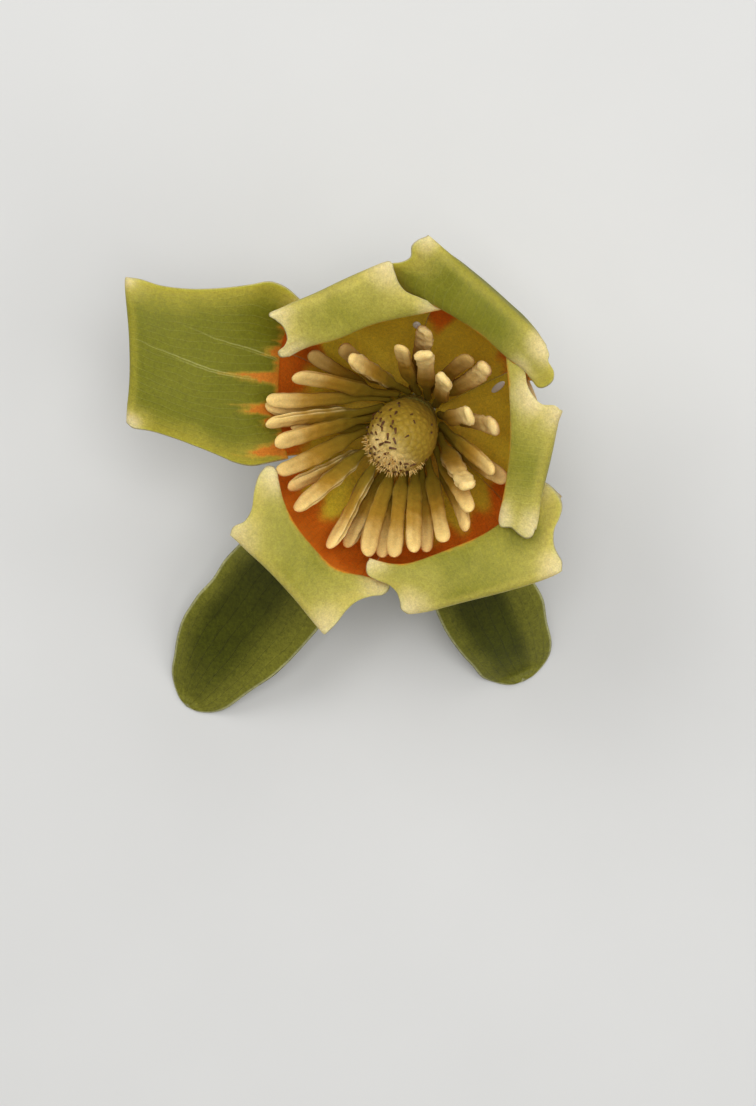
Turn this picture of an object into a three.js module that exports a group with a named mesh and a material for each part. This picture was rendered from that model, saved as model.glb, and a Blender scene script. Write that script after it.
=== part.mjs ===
// Cut flower of a tulip tree, face up. It rests on its three turned-back sepals and on the flat cut of its
// short stalk. Units are millimetres, +Z is up, and the origin is the middle of the stalk's flat cut.
import * as THREE from "three";
import { ParametricGeometry } from "three/addons/geometries/ParametricGeometry.js";
import { mergeVertices } from "three/addons/utils/BufferGeometryUtils.js";

const DEG = Math.PI / 180;
const UP = new THREE.Vector3(0, 0, 1);

// ---- Driving dimensions ----

// The flower's own axis leaves the stalk at this height, and leans. Petals, stamens and pistils are placed
// round it: by a turn about it in degrees from +X, a reach out from it, and a rise along it.
const FLOWER_BASE = 14;
const LEAN = 10.4;
const LEAN_HEADING = 246.5;

const STALK = { cutRadius: 2.3, neckRadius: 3.3, neckRise: -1.9, sides: 14, steps: 6 };
const RECEPTACLE = {
  foot: -1.6, footRadius: 3.4, waistRadius: 3.7, shoulder: 4.6, top: 6.2, topRadius: 2.9, sides: 20,
};

const PETAL_THICKNESS = 0.8;
const PETAL_GRID = { across: 8, perRow: 2 };
const LIP_ARCH = 0.7; // how far the middle of a turned-back lip rises above a straight line across it
const PETAL_FOOT = { reach: 4.1, rise: 1.4, halfSpan: 26 };
const PETAL_HIP = { reach: 11.8, rise: 4, halfSpan: 33 };
const PETAL_BELLY = { reach: 18.7, rise: 12.5, halfSpan: 34 };
// Just below the throat the wall stands out a little, so that the throat overhangs it.
const SHOULDER = { down: 0.22, bulge: 0.9 };
// How far a petal's edge lies inside (-) or outside (+) its neighbour's, at the belly.
const TUCK = 0.9;
// A tucked edge also drops this share of that distance, to stay clear where the wall is nearly level.
const TUCK_DROP = 0.7;
// The tip beyond the fold: how far each row goes out and down from the fold, and how wide it still is.
const TIP_ROWS = [
  { out: 0.4, down: 1.9, width: 0.93 },
  { out: 0.2, down: 4.4, width: 0.78 },
  { out: -0.9, down: 6.8, width: 0.42 },
];

// Each petal's throat is where its wall turns over, and its fold is where the turned-back lip bends down.
// A row is [turn, reach, rise] at its right edge, middle and left edge, seen from above the flower.
// `tuck` says whether each edge, right then left, lies inside or outside the next petal. `pinch` draws the
// lip's edge in, or with a minus sign lets it bulge.
const PETALS = [
  { heading: 355, tuck: [-1, -1], pinch: [0.4, 1.5],
    throat: [[321, 17.4, 25.2], [358, 15.4, 25], [38, 18.8, 24.8]],
    fold: [[324, 21.9, 26.6], [357, 20.3, 26], [13, 22.3, 26]] },
  { heading: 55, tuck: [1, 1], pinch: [-1.6, 0.2],
    throat: [[22, 20.1, 24.7], [55, 19, 26], [88, 21, 23]],
    fold: [[31, 23.9, 27], [56, 24, 27], [84, 28.1, 27]] },
  { heading: 115, tuck: [-1, -1], pinch: [1.4, 1.6], tipLength: 0.55,
    throat: [[73, 19.1, 23.5], [108, 17, 25], [144, 20.3, 25]],
    fold: [[93, 24.7, 26], [112, 22.9, 26.5], [135, 24.9, 26.5]] },
  { heading: 175, tuck: [1, -1], belly: { reach: 16.5, rise: 8.5, halfSpan: 30 },
    throat: [[131, 25.5, 16.5], [156, 19.8, 15.5], [191, 18.3, 15.5]],
    blade: [[141, 33.4, 21.5], [161, 29, 22], [186, 26.3, 20.5]],
    fold: [[150, 43.6, 23.5], [161, 39.1, 24], [177, 36.9, 23]] },
  { heading: 235, tuck: [0, 1], pinch: [1.5, 0.6],
    throat: [[193, 18.8, 25], [229, 19, 25], [263, 20.1, 23]],
    fold: [[208, 26.4, 26], [230, 25.5, 26], [248, 28.5, 26]] },
  { heading: 295, tuck: [-1, 1], pinch: [0.6, 0.8],
    throat: [[255, 17.2, 24.5], [290, 16.9, 24.8], [340, 23.6, 20.2]],
    fold: [[271, 23.5, 26], [298, 24, 26], [322, 28.2, 25.5]] },
];

const SEPAL = {
  thickness: 0.9, arch: 1.1, footReach: 4.1, footRise: 13.4, footHalfWidth: 3.1,
  fullWidthFrom: 0.42, tipFrom: 0.55, tipWidth: 0.2, grid: { across: 6, along: 14 },
};
// Each sepal leaves the stalk's top at the first dip, in degrees below level, and bends down to the second
// between the two shares of its length in `bend`.
const SEPALS = [
  { heading: 230.5, veer: 3, length: 53.4, halfWidth: 8, dip: [-6, 38], bend: [0, 1] },
  { heading: 293, veer: 1, length: 43.6, halfWidth: 7.6, dip: [-10, 54], bend: [0, 1] },
  { heading: 100, veer: 0, length: 30, halfWidth: 6.5, dip: [6, 172], bend: [0.12, 0.86] },
];

const CONE = {
  foot: 6.6, tip: 27.4, leanX: -0.5, leanY: -0.4, sides: 26, steps: 20,
  radius: 4.8, footRadius: 3.2, taperFrom: 0.62, tipRadius: 0.7,
};
// Carpel tips stand out of the cone in spirals.
const CARPELS = { spirals: 8, turns: 1.6, rings: 7, proud: 0.28 };

const STAMEN = {
  length: 21.5, halfWidth: 1.05, halfThickness: 0.5, footHalfWidth: 0.5, bulge: 0.08, sides: 6, steps: 8,
  antherFrom: [0.22, 0.42], roundFrom: 0.86, tipShare: 0.55,
};
// Stamens stand in two rings. Each tip is [turn, reach], in order round the flower, and a third number is
// its share of the full length.
const STAMEN_RINGS = [
  { foot: { reach: 4.6, rise: 3.1, firstTurn: 10 },
    tips: [[9, 13.3], [41, 15.6], [50, 14.9], [77, 15.5], [124, 15.4], [138, 17.6], [169, 19.7],
      [176, 16, 0.82], [205, 17.9, 0.95], [243, 17.8, 0.95], [260, 17.2], [281, 16.3], [305, 15.7],
      [337, 15.5]] },
  { foot: { reach: 4.5, rise: 5.4, firstTurn: 16 },
    tips: [[20, 10.3], [54, 11], [75, 12.8], [91, 13.3], [121, 13.6], [150, 17.4], [164, 19.8], [174.5, 19.1],
      [181.5, 17.7], [195, 18.1], [214, 18.1], [236, 18.6], [253, 17.1], [266, 16.4], [276, 15.7],
      [293, 15.4], [315, 13.6], [326, 11.3], [342, 13.5]] },
];

const PALE = { roughness: 0.6, metalness: 0 };
const COLOURS = {
  petal: 0x9ea545, sepal: 0x5c6324, stalk: 0x6f7a2e, receptacle: 0x8d8433, cone: 0xb2a040, stamen: 0xcfae62,
};

// ---- Places in the flower's own frame ----

const place = (turn, reach, rise) =>
  new THREE.Vector3(reach * Math.cos(turn * DEG), reach * Math.sin(turn * DEG), rise);

const row = (marks) => marks.map(([turn, reach, rise]) => place(turn, reach, rise));

// The point at `side` of a row, from -1 at its right edge to 1 at its left edge, on the parabola through
// the row's three places.
function across([right, middle, left], side) {
  return new THREE.Vector3()
    .addScaledVector(left, (side * (side + 1)) / 2)
    .addScaledVector(middle, 1 - side * side)
    .addScaledVector(right, (side * (side - 1)) / 2);
}

// ---- Closed solids from a formula ----

// Closes a parametric surface whose ends are drawn to a point: shared vertices are merged, the flat
// triangles at the ends are dropped, and the faces are turned outwards.
function closed(geometry) {
  geometry.deleteAttribute("normal");
  geometry.deleteAttribute("uv");
  const merged = mergeVertices(geometry, 1e-4);
  const corners = merged.getAttribute("position");
  const triangles = [];
  let volume = 0;
  const [a, b, c] = [new THREE.Vector3(), new THREE.Vector3(), new THREE.Vector3()];
  for (let i = 0; i < merged.index.count; i += 3) {
    const [p, q, r] = [0, 1, 2].map((step) => merged.index.getX(i + step));
    if (p === q || q === r || r === p) continue;
    triangles.push([p, q, r]);
    a.fromBufferAttribute(corners, p);
    b.fromBufferAttribute(corners, q);
    c.fromBufferAttribute(corners, r);
    volume += a.dot(b.cross(c));
  }
  merged.setIndex(triangles.flatMap(([p, q, r]) => (volume < 0 ? [p, r, q] : [p, q, r])));
  merged.computeVertexNormals();
  return merged;
}

// A thin leaf-like solid round the middle surface `middle(side, along)`, both faces in one skin. It is
// thickest along its rib and thins to its edges and its two ends.
function blade(middle, thickness, acrossCount, alongCount) {
  const step = 0.01;
  const skin = (around, along, target) => {
    const turn = Math.round(around * 2 * acrossCount) % (2 * acrossCount);
    const face = turn < acrossCount ? 1 : -1;
    const side = face > 0 ? -1 + (2 * turn) / acrossCount : 3 - (2 * turn) / acrossCount;
    if (along < step || along > 1 - step) {
      target.copy(middle(0, Math.round(along)));
      return;
    }
    const acrossWay = middle(side + step, along).sub(middle(side - step, along));
    const alongWay = middle(side, along + step).sub(middle(side, along - step));
    const normal = acrossWay.cross(alongWay).normalize();
    const half = 0.5 * thickness * (1 - Math.abs(side) ** 4);
    target.copy(middle(side, along)).addScaledVector(normal, face * half);
  };
  return closed(new ParametricGeometry(skin, 2 * acrossCount, alongCount));
}

// A tapering solid along `path`, with flat ends. `size(along)` gives its half width and half thickness, and
// `widthWay` the direction that its width keeps to.
function limb(path, size, widthWay, sides, steps) {
  const skin = (around, index, target) => {
    const ring = Math.round(index * (steps + 2)) - 1;
    const along = THREE.MathUtils.clamp(ring / steps, 0, 1);
    path.getPoint(along, target);
    if (ring < 0 || ring > steps) return;
    const thickWay = widthWay.clone().cross(path.getTangent(along)).normalize();
    const trueWidthWay = path.getTangent(along).cross(thickWay).normalize();
    const [halfWidth, halfThickness] = size(along, around);
    const angle = around * 2 * Math.PI;
    target.addScaledVector(trueWidthWay, halfWidth * Math.cos(angle));
    target.addScaledVector(thickWay, halfThickness * Math.sin(angle));
  };
  return closed(new ParametricGeometry(skin, sides, steps + 2));
}

// ---- Petals ----

// The rows of a petal from its foot, over the belly and the throat, to the end of its turned-down tip.
function petalRows(petal) {
  const { heading, tuck, pinch } = petal;
  const belly = { ...PETAL_BELLY, ...petal.belly };
  const throat = row(petal.throat);
  const fold = row(petal.fold);
  const wall = (turn, { reach, rise, halfSpan }, push) =>
    row([-1, 0, 1].map((side) => {
      const shift = side ? tuck[side > 0 ? 1 : 0] * push : 0;
      return [turn + side * halfSpan, reach + shift, rise - shift * TUCK_DROP];
    }));
  const foot = wall(heading, PETAL_FOOT, 0);
  const hip = wall(heading, PETAL_HIP, TUCK / 2);
  const middleTurn = (heading + petal.throat[1][0]) / 2;
  const bellyRow = wall(middleTurn, belly, TUCK);
  const shoulder = throat.map((mark, i) => {
    const outwards = mark.clone().setZ(0).normalize();
    return mark.clone().lerp(bellyRow[i], SHOULDER.down).addScaledVector(outwards, SHOULDER.bulge);
  });
  const outward = fold[1].clone().sub(throat[1]).setZ(0).normalize();
  const lip = petal.blade ? row(petal.blade) : pinched(throat, fold, pinch);
  const tip = TIP_ROWS.map(({ out, down, width }) =>
    fold.map((mark) => fold[1].clone().lerp(mark, width)
      .addScaledVector(outward, out).addScaledVector(UP, -down * (petal.tipLength ?? 1))));
  return [foot, hip, bellyRow, shoulder, throat, lip, fold, ...tip];
}

// The row half way across a lip, arched a little, with its edges drawn in.
function pinched(throat, fold, pinch) {
  const lip = throat.map((mark, i) => mark.clone().lerp(fold[i], 0.5).addScaledVector(UP, LIP_ARCH));
  const rightWay = lip[0].clone().sub(lip[1]).normalize();
  const leftWay = lip[2].clone().sub(lip[1]).normalize();
  lip[0].addScaledVector(rightWay, -pinch[0]);
  lip[2].addScaledVector(leftWay, -pinch[1]);
  return lip;
}

function petalShape(petal) {
  const rows = petalRows(petal);
  const middle = (side, along) => {
    const lengthwise = rows.map((marks) => across(marks, side));
    return new THREE.CatmullRomCurve3(lengthwise, false, "centripetal").getPoint(along);
  };
  return blade(middle, PETAL_THICKNESS, PETAL_GRID.across, PETAL_GRID.perRow * (rows.length - 1));
}

// ---- Sepals ----

// A sepal's rib: it leaves the stalk, bends down as it goes out, and ends on its tip.
function sepalRib(sepal) {
  const steps = 40;
  const stride = sepal.length / steps;
  const points = [place(sepal.heading, SEPAL.footReach, SEPAL.footRise)];
  const [firstDip, lastDip] = sepal.dip;
  for (let i = 0; i < steps; i += 1) {
    const along = (i + 0.5) / steps;
    const dip = (firstDip + (lastDip - firstDip) * THREE.MathUtils.smoothstep(along, ...sepal.bend)) * DEG;
    const heading = sepal.heading + sepal.veer * along;
    const stepOn = place(heading, stride * Math.cos(dip), -stride * Math.sin(dip));
    points.push(points[i].clone().add(stepOn));
  }
  return new THREE.CatmullRomCurve3(points);
}

// Half the width of a sepal along its length: a narrow foot, widest past the middle, and a round tip.
function sepalHalfWidth(sepal, along) {
  const grow = THREE.MathUtils.smoothstep(along, 0, SEPAL.fullWidthFrom);
  const width = SEPAL.footHalfWidth + (sepal.halfWidth - SEPAL.footHalfWidth) * grow;
  const past = Math.max(0, (along - SEPAL.tipFrom) / (1 - SEPAL.tipFrom));
  return width * Math.sqrt(Math.max(SEPAL.tipWidth ** 2, 1 - past ** 2.6));
}

function sepalShape(sepal) {
  const rib = sepalRib(sepal);
  const sideWay = place(sepal.heading + sepal.veer + 90, 1, 0);
  const middle = (side, along) => {
    const at = THREE.MathUtils.clamp(along, 0, 1);
    const out = side * sepalHalfWidth(sepal, at);
    const point = rib.getPoint(at).addScaledVector(sideWay, out);
    const sag = SEPAL.arch * side * side * (1 - at);
    return point.setZ(Math.max(point.z - sag, SEPAL.thickness / 2));
  };
  return blade(middle, SEPAL.thickness, SEPAL.grid.across, SEPAL.grid.along);
}

// ---- Middle of the flower ----

function stalkShape() {
  const axis = UP.clone().applyQuaternion(flowerTurn());
  const neck = new THREE.Vector3(0, 0, FLOWER_BASE).addScaledVector(axis, STALK.neckRise);
  const path = new THREE.CubicBezierCurve3(
    new THREE.Vector3(), new THREE.Vector3(0, 0, neck.z / 2),
    neck.clone().addScaledVector(axis, -neck.z / 3), neck,
  );
  const size = (along) => {
    const radius = STALK.cutRadius + (STALK.neckRadius - STALK.cutRadius) * along ** 2;
    return [radius, radius];
  };
  return limb(path, size, new THREE.Vector3(1, 0, 0), STALK.sides, STALK.steps);
}

function receptacleShape() {
  const { foot, footRadius, waistRadius, shoulder, top, topRadius } = RECEPTACLE;
  const profile = [
    [0, foot], [footRadius, foot], [waistRadius, 0], [waistRadius, shoulder], [topRadius, top], [0, top],
  ].map(([radius, height]) => new THREE.Vector2(radius, height));
  return closed(new THREE.LatheGeometry(profile, RECEPTACLE.sides).rotateX(Math.PI / 2));
}

// The cone of pistils: a spindle whose carpel tips stand proud in spirals.
function coneShape() {
  const { foot, tip, leanX, leanY, radius, footRadius, taperFrom, tipRadius } = CONE;
  const path = new THREE.LineCurve3(new THREE.Vector3(0, 0, foot), new THREE.Vector3(leanX, leanY, tip));
  const size = (along, around) => {
    const body = footRadius + (radius - footRadius) * Math.sin(Math.PI * (0.1 + 0.8 * along));
    const past = Math.max(0, (along - taperFrom) / (1 - taperFrom));
    const end = Math.sqrt(Math.max((tipRadius / radius) ** 2, 1 - past ** 2.4));
    const spiral = Math.cos(2 * Math.PI * (CARPELS.spirals * around + CARPELS.turns * along));
    const ring = Math.cos(2 * Math.PI * CARPELS.rings * along);
    const out = end * (body + CARPELS.proud * spiral * ring);
    return [out, out];
  };
  return limb(path, size, new THREE.Vector3(1, 0, 0), CONE.sides, CONE.steps);
}

// ---- Stamens ----

// A stamen from its foot on the receptacle to its tip, bending outwards a little.
function stamenPath(ring, index) {
  const [turn, reach, share = 1] = ring.tips[index];
  const footTurn = ring.foot.firstTurn + (360 * index) / ring.tips.length;
  const foot = place(footTurn, ring.foot.reach, ring.foot.rise);
  const run = reach - ring.foot.reach;
  const tip = place(turn, reach, ring.foot.rise + Math.sqrt((share * STAMEN.length) ** 2 - run ** 2));
  const bend = foot.clone().lerp(tip, 0.45);
  bend.addScaledVector(UP, STAMEN.bulge * run);
  return new THREE.QuadraticBezierCurve3(foot, bend, tip);
}

function stamenShape(path) {
  const tip = path.getPoint(1);
  const widthWay = new THREE.Vector3(-tip.y, tip.x, 0).normalize();
  const size = (along) => {
    const widen = THREE.MathUtils.smoothstep(along, ...STAMEN.antherFrom);
    const halfWidth = THREE.MathUtils.lerp(STAMEN.footHalfWidth, STAMEN.halfWidth, widen);
    const past = Math.max(0, (along - STAMEN.roundFrom) / (1 - STAMEN.roundFrom));
    const end = Math.sqrt(Math.max(STAMEN.tipShare ** 2, 1 - past ** 2));
    return [halfWidth * end, STAMEN.halfThickness * end];
  };
  return limb(path, size, widthWay, STAMEN.sides, STAMEN.steps);
}

// ---- Assembly ----

function flowerTurn() {
  const axis = place(LEAN_HEADING + 90, 1, 0);
  return new THREE.Quaternion().setFromAxisAngle(axis, LEAN * DEG);
}

function addPart(group, name, geometry, color) {
  const mesh = new THREE.Mesh(geometry, new THREE.MeshStandardMaterial({ color, ...PALE }));
  mesh.name = name;
  group.add(mesh);
}

function leaningFlower() {
  const flower = new THREE.Group();
  flower.position.set(0, 0, FLOWER_BASE);
  flower.quaternion.copy(flowerTurn());
  addPart(flower, "receptacle", receptacleShape(), COLOURS.receptacle);
  addPart(flower, "pistil_cone", coneShape(), COLOURS.cone);
  PETALS.forEach((petal, i) => addPart(flower, `petal_${i + 1}`, petalShape(petal), COLOURS.petal));
  let count = 0;
  for (const ring of STAMEN_RINGS) {
    ring.tips.forEach((tip, i) => {
      count += 1;
      addPart(flower, `stamen_${count}`, stamenShape(stamenPath(ring, i)), COLOURS.stamen);
    });
  }
  return flower;
}

const tulipTreeFlower = new THREE.Group();
addPart(tulipTreeFlower, "stalk", stalkShape(), COLOURS.stalk);
SEPALS.forEach((sepal, i) => addPart(tulipTreeFlower, `sepal_${i + 1}`, sepalShape(sepal), COLOURS.sepal));
tulipTreeFlower.add(leaningFlower());

export default tulipTreeFlower;
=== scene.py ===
"""Dresses a cut tulip tree flower that lies face up on a pale floor.

Each sub-assembly of the flower is a class that holds its sizes and builds its meshes, and each finish is a
small frozen class that builds one material. Sizes are in millimetres until a mesh is made, and +Z is up.
"""

import logging
import math
from dataclasses import dataclass, field
from enum import Enum
from typing import Any, Iterable, Optional, Union

import bpy
import numpy as np
from mathutils import Matrix, Vector, noise


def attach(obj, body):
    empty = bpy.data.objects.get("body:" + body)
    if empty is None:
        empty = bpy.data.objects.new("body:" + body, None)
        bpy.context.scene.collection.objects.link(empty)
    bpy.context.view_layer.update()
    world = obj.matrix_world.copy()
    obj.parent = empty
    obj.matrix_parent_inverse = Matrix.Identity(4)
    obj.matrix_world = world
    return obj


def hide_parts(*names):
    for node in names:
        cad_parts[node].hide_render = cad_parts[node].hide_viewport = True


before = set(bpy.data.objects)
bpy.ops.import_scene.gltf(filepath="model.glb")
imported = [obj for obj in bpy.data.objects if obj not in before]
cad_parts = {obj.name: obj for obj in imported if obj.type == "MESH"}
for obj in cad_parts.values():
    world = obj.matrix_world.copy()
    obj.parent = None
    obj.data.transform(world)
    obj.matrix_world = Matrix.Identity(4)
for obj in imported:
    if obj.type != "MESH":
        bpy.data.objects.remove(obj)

LOG = logging.getLogger("tulip_tree_flower")
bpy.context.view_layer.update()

MM = 0.001
DEG = math.pi / 180
LEVEL, UP = np.array([1, 1, 0]), np.array([0, 0, 1])
ROOT = "root"

SEED_SHIFT = 7.31  # how far a seed moves the ripples' noise
GOLDEN_ANGLE = 137.508

Array = np.ndarray
Node = bpy.types.Node
NodeTree = bpy.types.NodeTree
Socket = bpy.types.NodeSocket
Material = bpy.types.Material
Piece = bpy.types.Object
Values = dict[str, Array]
Colour = tuple[float, float, float, float]
Fade = tuple[float, ...]  # where a soft step starts and ends, and then its results there
Value = Union[float, Colour, Socket]


# ---- Driving dimensions that the dressed pieces share with the solids ----

FLOWER_BASE = 14.0
LEAN = 10.4
LEAN_HEADING = 246.5


class Slot(Enum):
    """The record's material slots."""

    PETALS = "petals"
    SEPALS = "sepals"
    STAMENS = "stamens"
    PISTILS = "pistils"
    RECEPTACLE = "receptacle"
    STALK = "stalk"


class Edge(Enum):
    """The two long edges of a petal, seen from above the flower."""

    RIGHT = -1
    LEFT = 1


# ---- Small geometry ----


def colour(red: int, green: int, blue: int) -> Colour:
    """Turns a display colour into the linear one that a material takes."""
    shares = (red / 255, green / 255, blue / 255)
    return (*(c / 12.92 if c <= 10 / 255 else ((c + 0.055) / 1.055) ** 2.4 for c in shares), 1.0)


def smooth(value: Array, low: float, high: float) -> Array:
    """A smooth step."""
    share = np.clip((np.asarray(value, float) - low) / (high - low), 0, 1)
    return share * share * (3 - 2 * share)


def bell(value: Array, middle: float, reach: float) -> Array:
    """A soft hump: 1 at the middle, and next to nothing past twice its reach."""
    return np.exp(-((value - middle) / reach) ** 2)


def rounded_tip(share: Array, start: float, power: float) -> Array:
    """How wide a tip still is: 1 up to its start, and rounded off to 0 at the end."""
    past = np.clip((share - start) / (1 - start), 0, 1)
    return np.sqrt(np.maximum(1 - past**power, 0))


def rounded_ends(share: Array, foot: float, tip: float) -> Array:
    """How thick a blade still is, thinned over a share of its length at either end."""
    return np.sqrt(np.clip(share / foot, 0, 1) * np.clip((1 - share) / tip, 0, 1))


def unit(vectors: Array) -> Array:
    """Scales vectors to length 1."""
    return vectors / np.maximum(np.linalg.norm(vectors, axis=-1, keepdims=True), 1e-12)


def place(turn: Array, reach: Array, rise: Array) -> Array:
    """A place round an upright axis."""
    turn, reach, rise = np.broadcast_arrays(*(np.asarray(v, float) for v in (turn, reach, rise)))
    return np.stack([reach * np.cos(turn * DEG), reach * np.sin(turn * DEG), rise], -1)


def flower_turn() -> Array:
    """The rotation that leans the flower."""
    axis = Vector(place(LEAN_HEADING + 90, 1, 0))
    return np.array(Matrix.Rotation(LEAN * DEG, 3, axis))


def leaning(points: Array) -> Array:
    """Carries points from the flower's own frame to the model's."""
    return points @ flower_turn().T + np.array([0, 0, FLOWER_BASE])


def centripetal(points: Array, share: Array) -> Array:
    """Evaluates centripetal Catmull-Rom curves through rows of points.

    Args:
        points: Rows x V x S x 3, or rows x 3: the points each curve runs through.
        share: V shares of the curves' length, 0 to 1, equally shared out between the rows.

    Returns:
        V x S x 3, or V x 3.
    """
    single = points.ndim == 2
    if single:
        points = np.repeat(points[:, None, None, :], len(share), axis=1)
    count = len(points)
    at = np.clip(share, 0, 1) * (count - 1)
    start = np.minimum(at.astype(int), count - 2)
    weight = (at - start)[:, None, None]
    padded = np.concatenate([2 * points[:1] - points[1:2], points, 2 * points[-1:] - points[-2:-1]])
    spot = np.arange(len(share))
    p0, p1, p2, p3 = (padded[start + step, spot] for step in range(4))
    spans = [np.sqrt(np.maximum(np.linalg.norm(b - a, axis=-1, keepdims=True), 1e-6))
             for a, b in ((p0, p1), (p1, p2), (p2, p3))]
    leave = ((p1 - p0) / spans[0] - (p2 - p0) / (spans[0] + spans[1]) + (p2 - p1) / spans[1]) * spans[1]
    arrive = ((p2 - p1) / spans[1] - (p3 - p1) / (spans[1] + spans[2]) + (p3 - p2) / spans[2]) * spans[1]
    square = -3 * p1 + 3 * p2 - 2 * leave - arrive
    cube = 2 * p1 - 2 * p2 + leave + arrive
    result = p1 + leave * weight + square * weight**2 + cube * weight**3
    return result[:, 0] if single else result


def ripple(points: Array, size: float, seed: float) -> Array:
    """Smooth noise of about -1 to 1 at many points, with bumps of a size, the same each run."""
    flat = points.reshape(-1, 3) / size + seed * SEED_SHIFT
    return np.array([noise.noise(Vector(p)) for p in flat]).reshape(points.shape[:-1])


@dataclass
class Skin:
    """A mesh in the making: points in millimetres, faces, and values that its material reads."""

    points: Array
    faces: list[tuple[int, ...]]
    values: Values = field(default_factory=dict)

    @staticmethod
    def joined(skins: Iterable["Skin"]) -> "Skin":
        """Puts several skins into one.

        Args:
            skins: Skins that carry the same values.

        Returns:
            One skin with all their points and faces.
        """
        points, faces, values, start = [], [], {}, 0
        for skin in skins:
            points.append(skin.points)
            faces += [tuple(i + start for i in face) for face in skin.faces]
            for name, numbers in skin.values.items():
                values.setdefault(name, []).append(numbers)
            start += len(skin.points)
        return Skin(np.concatenate(points), faces, {k: np.concatenate(v) for k, v in values.items()})

    def object(self, name: str, material: Optional[Material]) -> Piece:
        """Makes the Blender object, at the origin.

        Args:
            name: The piece's name.
            material: Its finish, or nothing for helper points.

        Returns:
            The new object, in the scene.
        """
        mesh = bpy.data.meshes.new(name)
        mesh.from_pydata((self.points * MM).tolist(), [], self.faces)
        mesh.validate()
        for key, numbers in self.values.items():
            vectors = numbers.ndim == 2
            attribute = mesh.attributes.new(key, "FLOAT_VECTOR" if vectors else "FLOAT", "POINT")
            attribute.data.foreach_set("vector" if vectors else "value", numbers.astype(np.float32).ravel())
        if material:
            mesh.materials.append(material)
        mesh.polygons.foreach_set("use_smooth", [True] * len(mesh.polygons))
        mesh.update()
        made = bpy.data.objects.new(name, mesh)
        bpy.context.scene.collection.objects.link(made)
        return made


def with_ends(grid: Array, foot: float = 0.0, tip: float = 0.0) -> Array:
    """A tube's numbers, ring by ring, and then those of its two end points."""
    return np.concatenate([np.ravel(grid), [foot, tip]])


def tube_skin(points: Array, rings: int, around: int, values: Optional[Values] = None) -> Skin:
    """Closes a tube of rings whose two ends are drawn to single points, and turns its faces outwards.

    Args:
        points: The rings' points, ring by ring, and then the two end points.
        rings: The number of rings.
        around: Points in each ring.
        values: Numbers for the material, one for each point.

    Returns:
        The closed skin, with quads along the tube and triangles at its ends.
    """
    faces: list[tuple[int, ...]] = []
    last = (rings - 1) * around
    for first in range(0, last, around):
        for step in range(around):
            a, b = first + step, first + (step + 1) % around
            faces.append((a, b, b + around, a + around))
    foot, tip = rings * around, rings * around + 1
    for step in range(around):
        after = (step + 1) % around
        faces += [(foot, after, step), (tip, last + step, last + after)]
    volume = 0.0
    for face in faces:
        for second, third in zip(face[1:-1], face[2:]):
            volume += float(np.dot(points[face[0]], np.cross(points[second], points[third])))
    return Skin(points, faces if volume > 0 else [face[::-1] for face in faces], values or {})


def dressed(piece: Piece, nodes: Iterable[str]) -> Piece:
    """Hands a finished piece to the frame and reports it.

    Args:
        piece: The piece, at the origin.
        nodes: The solids it stands for.

    Returns:
        The same piece.
    """
    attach(piece, ROOT)
    names = list(nodes)
    if names:
        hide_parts(*names)
    LOG.info("%s: %d faces, for %d solids", piece.name, len(piece.data.polygons), len(names))
    return piece


# ---- Node trees ----


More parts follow.
